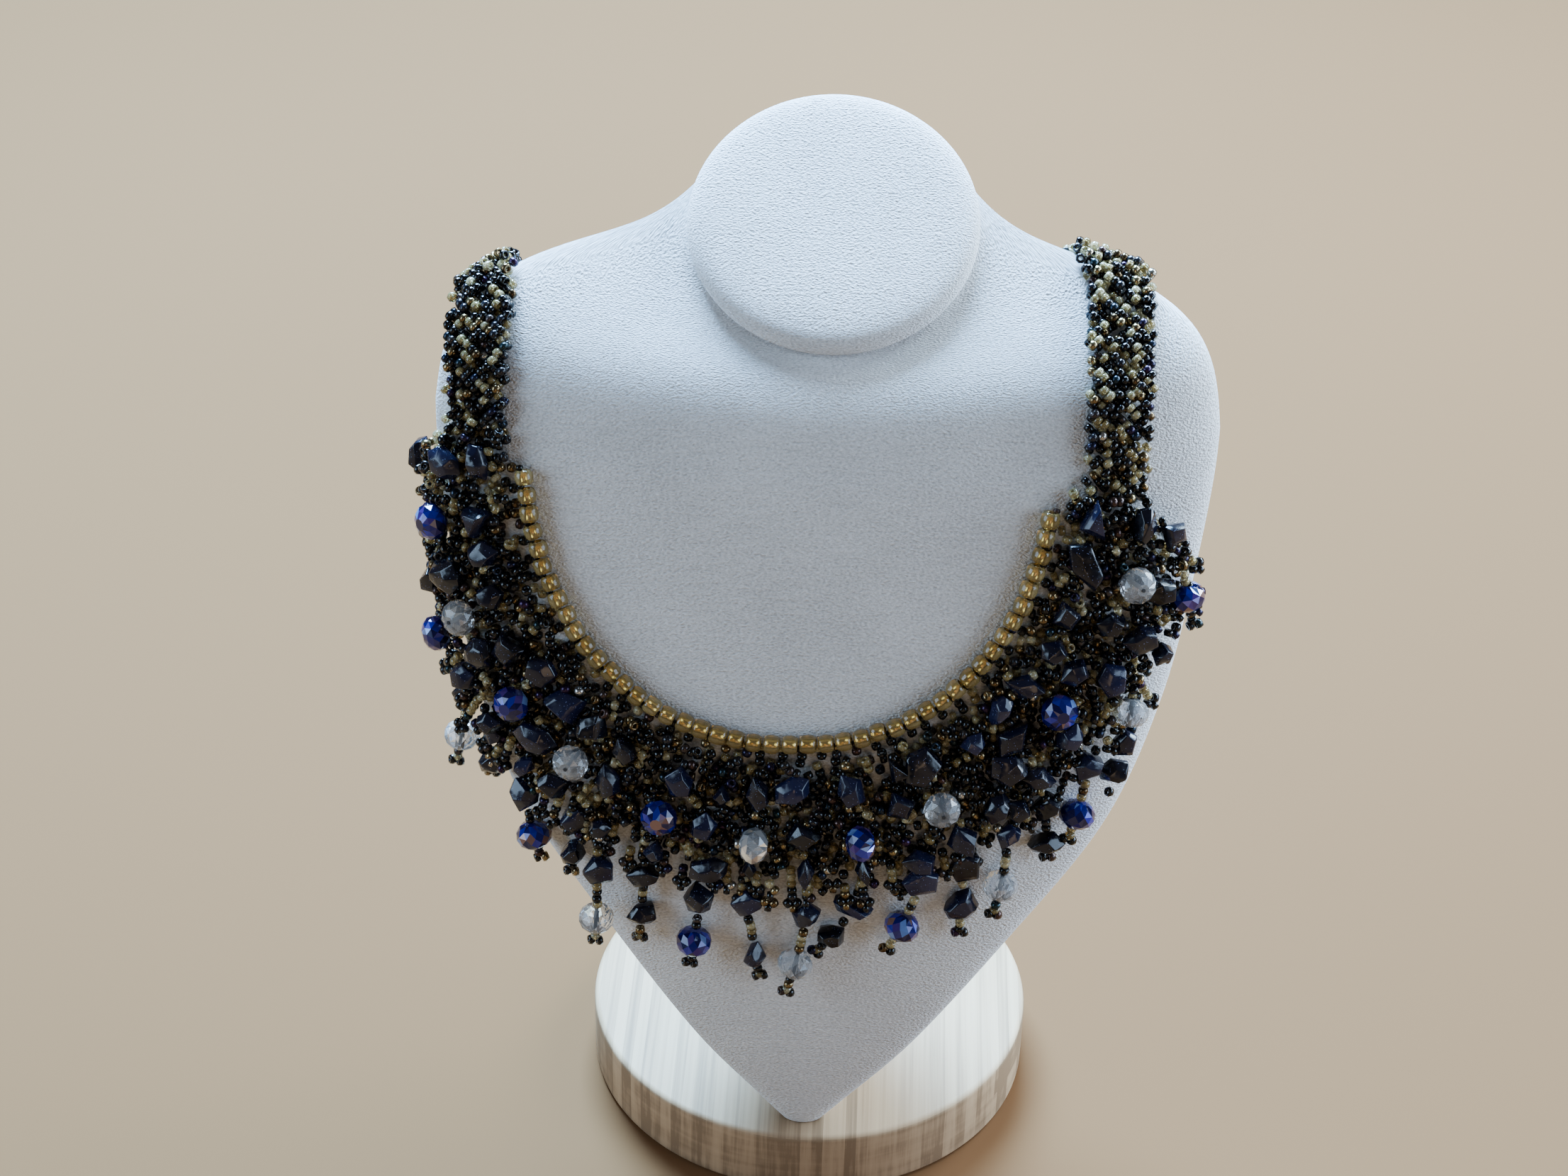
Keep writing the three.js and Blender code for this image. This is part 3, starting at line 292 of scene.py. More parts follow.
bustForm = {"foot": 17.35, "height": 203.2, "shoulderHalf": 82.5, "chestDepth": 56, "shoulderRow": 7,
            "capRadius": 30.6, "capThick": 4.5, "capTilt": 35.6, "capSides": 144, "neckInset": 0.8,
            "neckBack": 0.064}
bustSections = [   # height, slope, half width, front, edge, back, as shares
    (0, 0, 0.06, -0.866, -0.804, 0.18), (0.033, 0, 0.12, -0.902, -0.821, 0.25),
    (0.136, 0.01, 0.303, -0.964, -0.857, 0.36), (0.284, 0.02, 0.545, -1, -0.804, 0.43),
    (0.432, 0.04, 0.782, -0.982, -0.679, 0.46), (0.579, 0.08, 0.909, -0.911, -0.536, 0.46),
    (0.727, 0.14, 0.97, -0.795, -0.393, 0.45), (0.845, 0.21, 1, -0.679, -0.268, 0.39),
    (0.9272, 0.336, 0.982, -0.571, -0.179, 0.277), (0.9704, 0.505, 0.879, -0.493, -0.125, 0.188),
    (0.9875, 0.6, 0.703, -0.446, -0.071, 0.164), (0.9944, 0.652, 0.521, -0.414, -0.02, 0.223),
    (0.997, 0.679, 0.405, -0.393, 0.036, 0.411)]


def bustRows(form, sections):
    depth = form["chestDepth"]
    scale = np.array([form["height"], 1, form["shoulderHalf"], depth, depth, depth])
    rows = np.array(sections) * scale + np.array([form["foot"], 0, 0, 0, 0, 0])
    radius = form["capRadius"] - form["neckInset"]
    tilt = math.radians(form["capTilt"])
    reach, edge = radius * math.cos(tilt), form["neckBack"] * depth
    last = [form["foot"] + form["height"], math.tan(tilt), radius, edge - reach, edge, edge + reach]
    return np.vstack([rows, last])


bustTable = bustRows(bustForm, bustSections)
lastRow = len(bustTable) - 1


def sectionAt(level):
    level = np.clip(level, 0, lastRow - 1e-9)
    i = np.floor(level).astype(int)
    t = (level - i)[..., None]
    a, b, c, d = (bustTable[np.clip(i + k, 0, lastRow)] for k in (-1, 0, 1, 2))
    return (2 * b + (c - a) * t + (2 * a - 5 * b + 4 * c - d) * t ** 2 + (3 * b - a - 3 * c + d) * t ** 3) / 2


def bustPoint(level, around):
    level, around = np.broadcast_arrays(np.asarray(level, float), np.asarray(around, float))
    height, slope, half, front, edge, back = np.moveaxis(sectionAt(level), -1, 0)
    c = np.cos(around)
    y = np.where(c >= 0, edge + (front - edge) * c, edge - (back - edge) * c)
    return np.stack([half * np.sin(around), y, height + slope * y], -1)


def unit(v):
    return v / np.maximum(np.linalg.norm(v, axis=-1, keepdims=True), 1e-12)


def dot(a, b):
    return (a * b).sum(-1, keepdims=True)


def slopesAt(level, around, step=1e-3):
    rise = (bustPoint(level + step, around) - bustPoint(level - step, around)) / (2 * step)
    turn = (bustPoint(level, around + step) - bustPoint(level, around - step)) / (2 * step)
    return rise, turn, unit(np.cross(turn, rise))


def stepOver(level, around, heading, distance):
    rise, turn, out = slopesAt(level, around)
    heading = unit(heading - dot(heading, out) * out)
    a, b, c = (rise * rise).sum(-1), (rise * turn).sum(-1), (turn * turn).sum(-1)
    g, h = (heading * rise).sum(-1) * distance, (heading * turn).sum(-1) * distance
    scale = a * c - b * b
    return level + (g * c - h * b) / scale, around + (a * h - b * g) / scale, heading


def walkOver(level, around, heading, distance, steps=30):
    for _ in range(steps):
        level, around, heading = stepOver(level, around, heading, distance / steps)
    return level, around, heading


def halved(low, high, tooLow, times=40):
    # the level where tooLow stops being true
    for _ in range(times):
        middle = (low + high) / 2
        below = tooLow(middle)
        low, high = np.where(below, middle, low), np.where(below, high, middle)
    return low


def aroundAt(level, x):
    return np.arcsin(np.clip(x / sectionAt(level)[..., 2], -1, 1))


def chestSpot(x, z):
    low, high = np.zeros_like(x), np.full_like(x, lastRow - 3.0)
    level = halved(low, high, lambda middle: bustPoint(middle, aroundAt(middle, x))[..., 2] < z)
    return level, aroundAt(level, x)


def runAlong(points):
    return np.concatenate([[0], np.cumsum(np.linalg.norm(np.diff(points, axis=0), axis=1))])


necklineSpec = {"half": 56, "rise": 62, "bottom": 128.4, "shift": -7, "power": 2.2, "steps": 720,
                "aside": 0.004}


def traceNeckline(spec):
    angle = np.linspace(-math.pi / 2, math.pi / 2, spec["steps"] + 1)
    bend = 2 / spec["power"]
    x = spec["shift"] + spec["half"] * np.sign(angle) * np.abs(np.sin(angle)) ** bend
    z = spec["bottom"] + spec["rise"] * (1 - np.abs(np.cos(angle)) ** bend)
    level, around = chestSpot(x, z)
    run = runAlong(bustPoint(level, around))
    return level, around, run, run[spec["steps"] // 2]


neckLevel, neckAround, neckRun, neckLowest = traceNeckline(necklineSpec)


def chartAt(along, down, lift):
    # place, axes and spot at a share along the neckline, a distance below it and a lift off the linen
    along, down, lift = np.broadcast_arrays(*(np.atleast_1d(np.asarray(v, float)) for v in (along, down, lift)))

    def onNeckline(share):
        run = np.where(share < 0, neckLowest * (1 + share), neckLowest + (neckRun[-1] - neckLowest) * share)
        return np.interp(run, neckRun, neckLevel), np.interp(run, neckRun, neckAround)

    level, around = onNeckline(along)
    aside = necklineSpec["aside"]
    tangent = bustPoint(*onNeckline(along + aside)) - bustPoint(*onNeckline(along - aside))
    heading = unit(np.cross(tangent, slopesAt(level, around)[2]))
    level, around, heading = walkOver(level, around, heading, down)
    out = slopesAt(level, around)[2]
    fall = unit(heading - dot(heading, out) * out)
    place = bustPoint(level, around) + out * lift[..., None]
    return place, np.cross(fall, out), fall, out, level, around


def spotAt(along, down, lift):
    # place, across, fall and out of one spot
    return [v[0] for v in chartAt(along, down, lift)[:4]]


# many small things joined into one piece

def placeOf(position, xAxis, yAxis, zAxis, scale=(1, 1, 1)):
    matrix = np.eye(4)
    for k, axis in enumerate((xAxis, yAxis, zAxis)):
        matrix[:3, k] = np.asarray(axis) * scale[k]
    matrix[:3, 3] = np.asarray(position) * mm
    return matrix


def sideways(axis, hint):
    x = np.cross(hint, axis)
    if np.linalg.norm(x) < 1e-6:
        x = np.cross((0.3, 0.9, 0.1), axis)
    x = x / np.linalg.norm(x)
    return x, np.cross(axis, x)


def copiesOf(name, groups, finishes):
    # one joined mesh: every group is (model, [(matrix, finish, tint), ...])
    points, corners, starts, finishOf, smooth, tints, facets = [], [], [], [], [], [], []
    pointCount = cornerCount = 0
    for model, places in groups:
        if not places:
            continue
        source, count = model.data, len(places)
        co = np.empty(len(source.vertices) * 3)
        source.vertices.foreach_get("co", co)
        co = co.reshape(-1, 3)
        loop = np.empty(len(source.loops), np.int32)
        source.loops.foreach_get("vertex_index", loop)
        start = np.empty(len(source.polygons), np.int32)
        source.polygons.foreach_get("loop_start", start)
        own = np.empty(len(source.polygons), np.int32)
        source.polygons.foreach_get("material_index", own)
        soft = np.empty(len(source.polygons), bool)
        source.polygons.foreach_get("use_smooth", soft)
        mats = np.array([p[0] for p in places])
        points.append((np.einsum("nij,vj->nvi", mats[:, :3, :3], co) + mats[:, None, :3, 3]).reshape(-1, 3))
        corners.append((loop[None] + (np.arange(count) * len(co))[:, None]).ravel() + pointCount)
        starts.append((start[None] + (np.arange(count) * len(loop))[:, None]).ravel() + cornerCount)
        finishOf.append((own[None] + np.array([p[1] for p in places])[:, None]).ravel())
        smooth.append(np.tile(soft, count))
        tints.append(np.repeat([p[2] for p in places], len(co)))
        facets.append(rng.random(count * len(own)))
        pointCount += count * len(co)
        cornerCount += count * len(loop)
    mesh = bpy.data.meshes.new(name)
    mesh.vertices.add(pointCount)
    mesh.vertices.foreach_set("co", np.concatenate(points).ravel())
    mesh.loops.add(cornerCount)
    mesh.loops.foreach_set("vertex_index", np.concatenate(corners))
    starts = np.concatenate(starts)
    mesh.polygons.add(len(starts))
    mesh.polygons.foreach_set("loop_start", starts)
    mesh.polygons.foreach_set("material_index", np.concatenate(finishOf).astype(np.int32))
    mesh.polygons.foreach_set("use_smooth", np.concatenate(smooth))
    mesh.update(calc_edges=True)
    mesh.attributes.new("tint", "FLOAT", "POINT").data.foreach_set("value", np.concatenate(tints))
    mesh.attributes.new("facet", "FLOAT", "FACE").data.foreach_set("value", np.concatenate(facets))
    for finish in finishes:
        mesh.materials.append(finish)
    piece = bpy.data.objects.new(name, mesh)
    bpy.context.scene.collection.objects.link(piece)
    return piece


def finishPiece(piece, slot, *replaced):
    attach(piece, "root")
    if replaced:
        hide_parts(*replaced)
    return piece


# the wooden base

baseSpec = {"radius": 53.5, "height": 17, "edge": 1.4, "sides": 144}


def makeBase(spec):
    deselectAll()
    bpy.ops.mesh.primitive_cylinder_add(vertices=spec["sides"], radius=spec["radius"] * mm,
                                        depth=spec["height"] * mm, location=(0, 0, spec["height"] / 2 * mm))
    base = bpy.context.object
    base.name = "bambooBase"
    bpy.ops.object.transform_apply()
    bpy.ops.object.mode_set(mode="EDIT")
    bpy.ops.mesh.select_all(action="DESELECT")
    work = bmesh.from_edit_mesh(base.data)
    for edge in work.edges:
        edge.select_set(abs(edge.verts[0].co.z - edge.verts[1].co.z) < 1e-6)
    bmesh.update_edit_mesh(base.data)
    bpy.ops.mesh.bevel(offset=spec["edge"] * mm, segments=4)
    bpy.ops.object.mode_set(mode="OBJECT")
    bpy.ops.object.shade_smooth_by_angle(angle=math.radians(40))
    base.data.materials.append(bambooWood)
    return finishPiece(base, "bamboo", "wood_base")


# the linen bust and its neck disc

def clothMesh(name, rings, across, upward):
    # rings of points become one closed skin whose UV map is in millimetres over the cloth
    rows, sides = rings.shape[:2]
    work = bmesh.new()
    grid = [[work.verts.new(tuple(p * mm)) for p in ring] for ring in rings]
    uv = work.loops.layers.uv.new("cloth")
    for r in range(rows - 1):
        for s in range(sides):
            t = (s + 1) % sides
            face = work.faces.new((grid[r][s], grid[r][t], grid[r + 1][t], grid[r + 1][s]))
            face.smooth = True
            for loop, (i, j) in zip(face.loops, ((r, s), (r, s + 1), (r + 1, s + 1), (r + 1, s))):
                loop[uv].uv = (across[i][j], upward[i][j])
    for ring, flat, order in ((grid[0], rings[0], range(sides - 1, -1, -1)), (grid[-1], rings[-1], range(sides))):
        face = work.faces.new([ring[j] for j in order])
        face.smooth = False
        for loop, j in zip(face.loops, order):
            loop[uv].uv = (flat[j][0], flat[j][1])
    mesh = bpy.data.meshes.new(name)
    work.to_mesh(mesh)
    work.free()
    piece = bpy.data.objects.new(name, mesh)
    bpy.context.scene.collection.objects.link(piece)
    mesh.materials.append(linenCloth)
    return piece


bustSkin = {"rows": 168, "sides": 168, "softFrom": 7.2, "softTo": 12.6, "soften": 90, "ease": 0.25}


def makeBust(skin):
    rows, sides = skin["rows"], skin["sides"]
    level = np.linspace(0, lastRow, rows)[:, None]
    around = np.linspace(-math.pi, math.pi, sides + 1)[None]
    points = bustPoint(level, around)
    upper = np.where((level > skin["softFrom"]) & (level < skin["softTo"]), 1.0, 0.0)[1:-1, :, None]
    for _ in range(skin["soften"]):   # evens out the slope under the disc
        points[1:-1] += upper * skin["ease"] * (points[2:] + points[:-2] - 2 * points[1:-1])
    strides = np.linalg.norm(np.diff(points, axis=1), axis=2)
    across = np.concatenate([np.zeros((rows, 1)), np.cumsum(strides, 1)], 1)
    across -= across[:, sides // 2:sides // 2 + 1]
    climbs = np.linalg.norm(np.diff(points, axis=0), axis=2)
    upward = np.concatenate([np.zeros((1, sides + 1)), np.cumsum(climbs, 0)], 0)
    upward = np.repeat(upward[:, sides // 2:sides // 2 + 1], sides + 1, 1) * 0.5 + upward * 0.5
    bust = clothMesh("linenBust", points[:, :-1], across, upward)
    return finishPiece(bust, "linen", "linen_bust")


discOutline = [   # inset from the rim and drop below the face, in millimetres
    (30.6, 4.5), (20, 4.5), (8, 4.5), (2.4, 4.5), (1.1, 4.35), (0.3, 3.9), (0, 3.25), (0.12, 2.5), (0.5, 1.75),
    (1.2, 1.05), (2.2, 0.5), (3.8, 0.08), (6.5, -0.25), (11, -0.52), (17, -0.7), (24, -0.82), (30.3, -0.9)]


def makeDisc(outline, form):
    radius, sides = form["capRadius"], form["capSides"]
    tilt = math.radians(form["capTilt"])
    out = np.array([0, -math.sin(tilt), math.cos(tilt)])
    x = np.array([1.0, 0, 0])
    y = np.cross(out, x)
    neck = bustTable[lastRow]
    seat = np.array([0, neck[4], neck[0] + neck[1] * neck[4]]) + out * (form["capThick"] + gap)
    angle = np.linspace(0, 2 * math.pi, sides + 1)
    rings, across, upward = [], [], []
    for inset, drop in outline:
        r = radius - inset + 1e-3
        rings.append(seat + r * (np.cos(angle)[:, None] * x + np.sin(angle)[:, None] * y) - drop * out)
        reach = r + max(drop, 0)
        across.append(reach * np.cos(angle))
        upward.append(reach * np.sin(angle))
    disc = clothMesh("neckDisc", np.array(rings)[:, :-1], across, upward)
    return finishPiece(disc, "linen", "neck_cap")


# models that are copied: beads, rondelle, thread and chips

seedSpec = {"radius": 1.14, "hole": 0.42, "length": 1.55, "sides": 8, "rings": 6, "stretch": (0.9, 1.12)}
amberSpec = {"radius": 2.05, "hole": 0.62, "length": 3.45, "sides": 20, "rings": 10}


def modelBead(name, spec, lined=False):
    thick = (spec["radius"] - spec["hole"]) / 2
    middle = spec["radius"] - thick
    deselectAll()
    bpy.ops.mesh.primitive_torus_add(major_segments=spec["sides"], minor_segments=spec["rings"],
                                     major_radius=middle * mm, minor_radius=thick * mm)
    bead = bpy.context.object
    bead.name = name
    bpy.ops.object.mode_set(mode="EDIT")
    bpy.ops.mesh.select_all(action="SELECT")
    bpy.ops.transform.resize(value=(1, 1, spec["length"] / (2 * thick)))
    bpy.ops.object.mode_set(mode="OBJECT")
    bpy.ops.object.shade_smooth()
    if lined:
        bead.data.materials.append(None)
        bead.data.materials.append(None)
        for face in bead.data.polygons:
            if math.hypot(face.center.x, face.center.y) < (middle - thick * 0.45) * mm:
                face.material_index = 1
    return bead


rondelleSpec = {"radius": 4, "thick": 6, "sides": 11,
                "rings": [(1.3, 3, 0), (2.75, 2.35, 0.5), (3.7, 1.25, 0), (4, 0, 0.5)]}   # radius, height, turn


def modelRondelle(name, spec):
    n = spec["sides"]
    deselectAll()
    bpy.ops.mesh.primitive_circle_add(vertices=n, radius=1 * mm, location=(0, 0, 0))
    cut = bpy.context.object
    cut.name = name
    bpy.ops.object.mode_set(mode="EDIT")
    bpy.ops.mesh.select_all(action="SELECT")
    bpy.ops.mesh.delete(type="VERT")
    for side in (1, -1):
        for radius, height, turn in spec["rings"]:
            if side > 0 or height:
                bpy.ops.mesh.primitive_circle_add(vertices=n, radius=radius * mm,
                                                  location=(0, 0, side * height * mm),
                                                  rotation=(0, 0, 2 * math.pi * turn / n))
    bpy.ops.mesh.select_all(action="SELECT")
    bpy.ops.mesh.convex_hull()
    bpy.ops.mesh.dissolve_limited(angle_limit=math.radians(1))
    bpy.ops.object.mode_set(mode="OBJECT")
    return cut


threadSpec = {"radius": 0.42, "length": 6.4, "sides": 10}


def modelThread(name, spec):
    deselectAll()
    bpy.ops.mesh.primitive_cylinder_add(vertices=spec["sides"], radius=spec["radius"] * mm,
                                        depth=spec["length"] * mm)
    bpy.context.object.name = name
    return bpy.context.object


chipSpec = {   # how many stones of each count of sides, and each ring's height and radius
    "shapes": {3: 2, 4: 3, 5: 3, 6: 2, 7: 1, 8: 1},
    "rings": [(-0.5, 0.62), (-0.16, 1.0), (0.2, 0.95), (0.5, 0.6)],
    "side": (0.74, 1.08), "turn": 0.22, "slide": 0.05, "reach": (0.86, 1.08), "size": 0.55, "rise": (0.62, 1.0),
    "merge": 0.05, "flat": 11, "edge": 0.045, "smooth": 32}


def modelChip(name, sides, spec):
    # a polished chip one millimetre across each way, its corners shifted by chance and its edges rounded
    deselectAll()
    bpy.ops.mesh.primitive_circle_add(vertices=sides, radius=1 * mm)
    chip = bpy.context.object
    chip.name = name
    bpy.ops.object.mode_set(mode="EDIT")
    bpy.ops.mesh.select_all(action="SELECT")
    bpy.ops.mesh.delete(type="VERT")
    work = bmesh.from_edit_mesh(chip.data)
    shares = rng.uniform(*spec["side"], sides)
    turns = rng.uniform(-spec["turn"], spec["turn"], sides)
    for height, radius in spec["rings"]:
        slide = rng.normal(size=2) * spec["slide"]
        for k in range(sides):
            angle = 2 * math.pi * (k + turns[k]) / sides
            reach = radius * shares[k] * rng.uniform(*spec["reach"]) * spec["size"]
            corner = (reach * math.cos(angle) + slide[0], reach * math.sin(angle) + slide[1],
                      height * rng.uniform(*spec["rise"]))
            work.verts.new(Vector(corner) * mm)
    bmesh.update_edit_mesh(chip.data)
    bpy.ops.mesh.select_all(action="SELECT")
    bpy.ops.mesh.convex_hull()
    bpy.ops.mesh.select_all(action="SELECT")
    bpy.ops.mesh.remove_doubles(threshold=spec["merge"] * mm)
    bpy.ops.mesh.dissolve_limited(angle_limit=math.radians(spec["flat"]))
    bpy.ops.mesh.normals_make_consistent(inside=False)
    bpy.ops.mesh.select_all(action="SELECT")
    bpy.ops.mesh.bevel(offset=spec["edge"] * mm, segments=2, profile=0.6, clamp_overlap=True)
    bpy.ops.object.mode_set(mode="OBJECT")
    low, high = (np.array([f(v.co[k] for v in chip.data.vertices) for k in range(3)]) for f in (min, max))
    for vert in chip.data.vertices:
        vert.co = [(vert.co[k] - (low[k] + high[k]) / 2) * mm / (high[k] - low[k]) for k in range(3)]
    bpy.ops.object.shade_smooth_by_angle(angle=math.radians(spec["smooth"]))
    return chip


seedModel = modelBead("seedModel", seedSpec)
amberModel = modelBead("amberModel", amberSpec, lined=True)
rondelleModel = modelRondelle("rondelleModel", rondelleSpec)
threadModel = modelThread("threadModel", threadSpec)
chipModels = {sides: [modelChip(f"chipModel{sides}{k}", sides, chipSpec) for k in range(count)]
              for sides, count in chipSpec["shapes"].items()}
print("models ready")


beadMix = {"smoky": 0.86, "black": 0.74, "blackOrIris": 0.9}   # the rest of a run is bronze


def pickFinish(run):
    # beads come in short runs of dark or smoky glass, with a few shiny ones
    chance = rng.random()
    if run == "smoky":
        return smoky if chance < beadMix["smoky"] else bronze
    return black if chance < beadMix["black"] else iris if chance < beadMix["blackOrIris"] else bronze


def anyChip(sides):
    return chipModels[sides][int(rng.integers(len(chipModels[sides])))]


def seedPlace(position, axis, finish, size=1.0):
    x, y = sideways(axis, rng.normal(size=3))
    long = size * rng.uniform(*seedSpec["stretch"])
    return placeOf(position, x, y, axis, (size, size, long)), finish, rng.random()


# stones, rondelles and beads of the bib

bibSpec = {"width": 28, "left": -1.0, "right": 0.93, "slant": 0.1, "seat": 0.4, "thick": 2.4}
stoneSpec = {"thick": 4, "above": 0.3, "lean": 0.1, "swell": (1.12, 1.12, 1.2)}
bibStones = [   # share along the neckline, share of the width down, length, width, turn, sides
    (-0.92, 0.52, 7, 6, 60, 6), (-0.925, 0.25, 7, 4, 88, 6), (-0.81, 0.31, 6.5, 5, 80, 3),
    (-0.745, 0.33, 7, 5.5, 20, 5), (-0.71, 0.7, 7.5, 7, 0, 8), (-0.665, 0.38, 5, 4.5, 30, 5),
    (-0.575, 0.7, 7, 6.5, 15, 7), (-0.56, 0.46, 7.5, 7, 25, 4), (-0.5, 0.31, 6, 5.5, 70, 5),
    (-0.42, 0.36, 8, 7, 40, 4), (-0.36, 0.33, 7, 6, 10, 4), (-0.415, 0.74, 8.5, 6, 80, 6),
    (-0.29, 0.34, 6, 4.5, -30, 5), (-0.285, 0.64, 8, 5, -20, 5), (-0.18, 0.37, 6.5, 6, 10, 5),
    (-0.1, 0.38, 4.5, 3.5, 0, 4), (-0.035, 0.33, 8, 4.5, 0, 5), (-0.12, 0.68, 6.5, 5, 25, 5),
    (0.03, 0.27, 7, 5.5, 80, 6), (0.05, 0.67, 7, 6, 88, 4), (0.14, 0.32, 8, 5, 5, 5),
    (0.215, 0.52, 6.5, 6, 0, 4), (0.275, 0.27, 8, 6.5, 60, 5), (0.38, 0.33, 5, 4, 90, 5),
    (0.455, 0.26, 6.5, 4, 80, 6), (0.395, 0.68, 8, 7, 20, 5), (0.435, 0.5, 8.5, 5.5, 85, 4),
    (0.52, 0.27, 8, 5, -20, 4), (0.345, 0.88, 6, 5, 80, 6), (0.42, 0.9, 7, 4.5, -15, 6),
    (0.495, 0.82, 6.5, 4.5, 90, 5), (0.605, 0.3, 5.5, 5, 40, 5), (0.59, 0.53, 6, 5, -30, 5),
    (0.605, 0.8, 6.5, 5.5, 60, 5), (0.68, 0.25, 6, 5.5, 60, 4), (0.69, 0.6, 5.5, 5, 20, 5),
    (0.68, 0.88, 8, 6, 0, 5), (0.785, 0.24, 10, 5, 50, 5), (0.87, 0.22, 8, 4.5, 75, 3),
    (0.875, 0.62, 7, 4.5, 88, 8), (0.865, 0.85, 6, 5.5, 30, 4), (0.765, 0.88, 8, 5.5, 5, 5),
    (-0.91, 0.98, 7, 6, 60, 4), (-0.79, 0.97, 8, 5, 85, 3), (-0.7, 0.98, 8, 6, 5, 5),
    (-0.55, 0.95, 6.5, 5.5, 40, 5), (-0.345, 0.95, 6.5, 6, 50, 4)]
edgeStones = [   # small stones between the fringe drops, in the same columns
    (-0.47, 0.97, 5.5, 5, 45, 4), (-0.395, 1.0, 5, 3.2, 25, 5), (-0.26, 1.03, 4.2, 3.6, 80, 5),
    (-0.18, 1.03, 4.6, 4.2, 0, 4), (-0.1, 1.04, 7.6, 5, 80, 6), (-0.04, 0.96, 5.4, 2.8, 0, 4),
    (0.05, 0.98, 6.6, 3.5, 0, 4), (0.135, 1.0, 6, 3.2, 0, 4), (0.215, 1.05, 7.3, 4.8, -40, 5),
    (0.23, 0.25, 6.6, 3.6, -25, 3), (0.28, 0.99, 7.3, 6.3, 0, 4), (0.365, 1.0, 5.4, 5, 20, 5),
    (0.67, 1.08, 4.8, 3.3, -60, 5)]
bibRondelles = [   # colour, share along, share down, how it lies
    ("blue", -0.81, 0.68, "front"), ("clear", -0.64, 0.7, "front"), ("blue", -0.62, 1.02, "front"),
    ("blue", -0.48, 0.68, "front"), ("clear", -0.35, 0.67, "front"), ("blue", -0.19, 0.7, "front"),
    ("clear", -0.035, 0.72, "side"), ("blue", 0.14, 0.72, "side"), ("clear", 0.275, 0.66, "front"),
    ("blue", 0.52, 0.6, "front"), ("clear", 0.77, 0.66, "front")]
keepOut = []   # (place, three axes, three half sizes) of the stones that beads stay out of


def stonePlace(row, spec):
    along, down, long, wide, turn = row[:5]
    thick = spec["thick"]
    lift = bibSpec["seat"] + bibSpec["thick"] + spec["above"] + thick / 2
    place, across, fall, out = spotAt(along, down * bibSpec["width"], lift)
    angle = math.radians(turn)
    longAxis = fall * math.cos(angle) + across * math.sin(angle)
    lean = rng.normal(size=3) * spec["lean"]
    outLean = unit(out + lean - np.dot(lean, longAxis) * longAxis)
    wideAxis = unit(np.cross(longAxis, outLean))
    keepOut.append((place, (wideAxis, longAxis, outLean), (wide / 2, long / 2, thick / 2)))
    scale = [size * more for size, more in zip((wide, long, thick), spec["swell"])]
    return placeOf(place, wideAxis, longAxis, outLean, scale)


def rondellePlace(row, cut):
    along, down, facing = row[1:]
    thick = cut["thick"] / 2 if facing == "front" else cut["radius"]
    lift = bibSpec["seat"] + bibSpec["thick"] + gap + thick
    place, across, fall, out = spotAt(along, down * bibSpec["width"], lift)
    axes = (across, np.cross(out, across), out) if facing == "front" else (fall, out, -across)
    keepOut.append((place, axes, (cut["radius"], cut["radius"], cut["thick"] / 2)))
    return place, axes


def makeStones(rows, spec):
    groups = {"Left": {}, "Right": {}}
    for row in rows:
        matrix = stonePlace(row, spec)
        model = anyChip(row[5])
        found = groups["Left" if row[0] < 0 else "Right"]
        found.setdefault(model.name, (model, []))[1].append((matrix, 0, rng.random()))
    for side, found in groups.items():
        piece = copiesOf("bibStones" + side, list(found.values()), [goldstone])
        finishPiece(piece, "goldstone", "bib_" + side.lower())


def makeRondelles(rows, cut):
    threadAt = 1 + len(beadFinishes)
    for i, row in enumerate(rows):
        place, axes = rondellePlace(row, cut)
        matrix = placeOf(place, *axes)
        groups = [(rondelleModel, [(matrix, 0, 0.5)])]
        if row[0] == "clear":
            groups.append((threadModel, [(matrix, threadAt, 0.5)]))
        if row[3] == "side":   # a bronze bead at each end
            reach = axes[2] * (cut["thick"] / 2 + 0.3)
            groups.append((seedModel, [seedPlace(place + reach * s, axes[2], 1 + bronze) for s in (1, -1)]))
        glass = blueCrystal if row[0] == "blue" else clearCrystal
        piece = copiesOf(f"rondelle{row[0]}{i + 1}", groups, [glass, *beadFinishes, darkThread])
        finishPiece(piece, row[0] + "_glass", f"rondelle_{row[0]}_{i + 1}")


class BeadField:
    # keeps beads apart from each other and out of the stones
    cell = 2.0

    def __init__(self):
        self.cells = {}
        self.kept = []

    def home(self, point):
        return tuple(np.floor(point / self.cell).astype(int))

    def free(self, point, strand, own, other):
        i, j, k = self.home(point)
        for shift in np.ndindex(3, 3, 3):
            cell = (i + shift[0] - 1, j + shift[1] - 1, k + shift[2] - 1)
            for near, kin in self.cells.get(cell, ()):
                apart = math.dist(near, point)
                if apart < own or (apart < other and kin != strand):
                    return False
        return True

    def clearOfStones(self, point, margin):
        for place, axes, half in keepOut:
            offset = point - place
            if sum((np.dot(offset, a) / (h + margin)) ** 2 for a, h in zip(axes, half)) < 1:
                return False
        return True

    def add(self, point, axis, finish, strand, own=1.4, other=1.85, margin=0.5):
        if not self.free(point, strand, own, other) or not self.clearOfStones(point, margin):
            return False
        self.cells.setdefault(self.home(point), []).append((tuple(point), strand))
        self.kept.append((point, axis, finish))
        return True


def drawnIn(along, down):
    return along * (1 - bibSpec["slant"] * (down / bibSpec["width"]) ** 2)


gridSpec = {"past": 0.04, "steps": 320, "down": (1.0, 31.01, 0.75)}


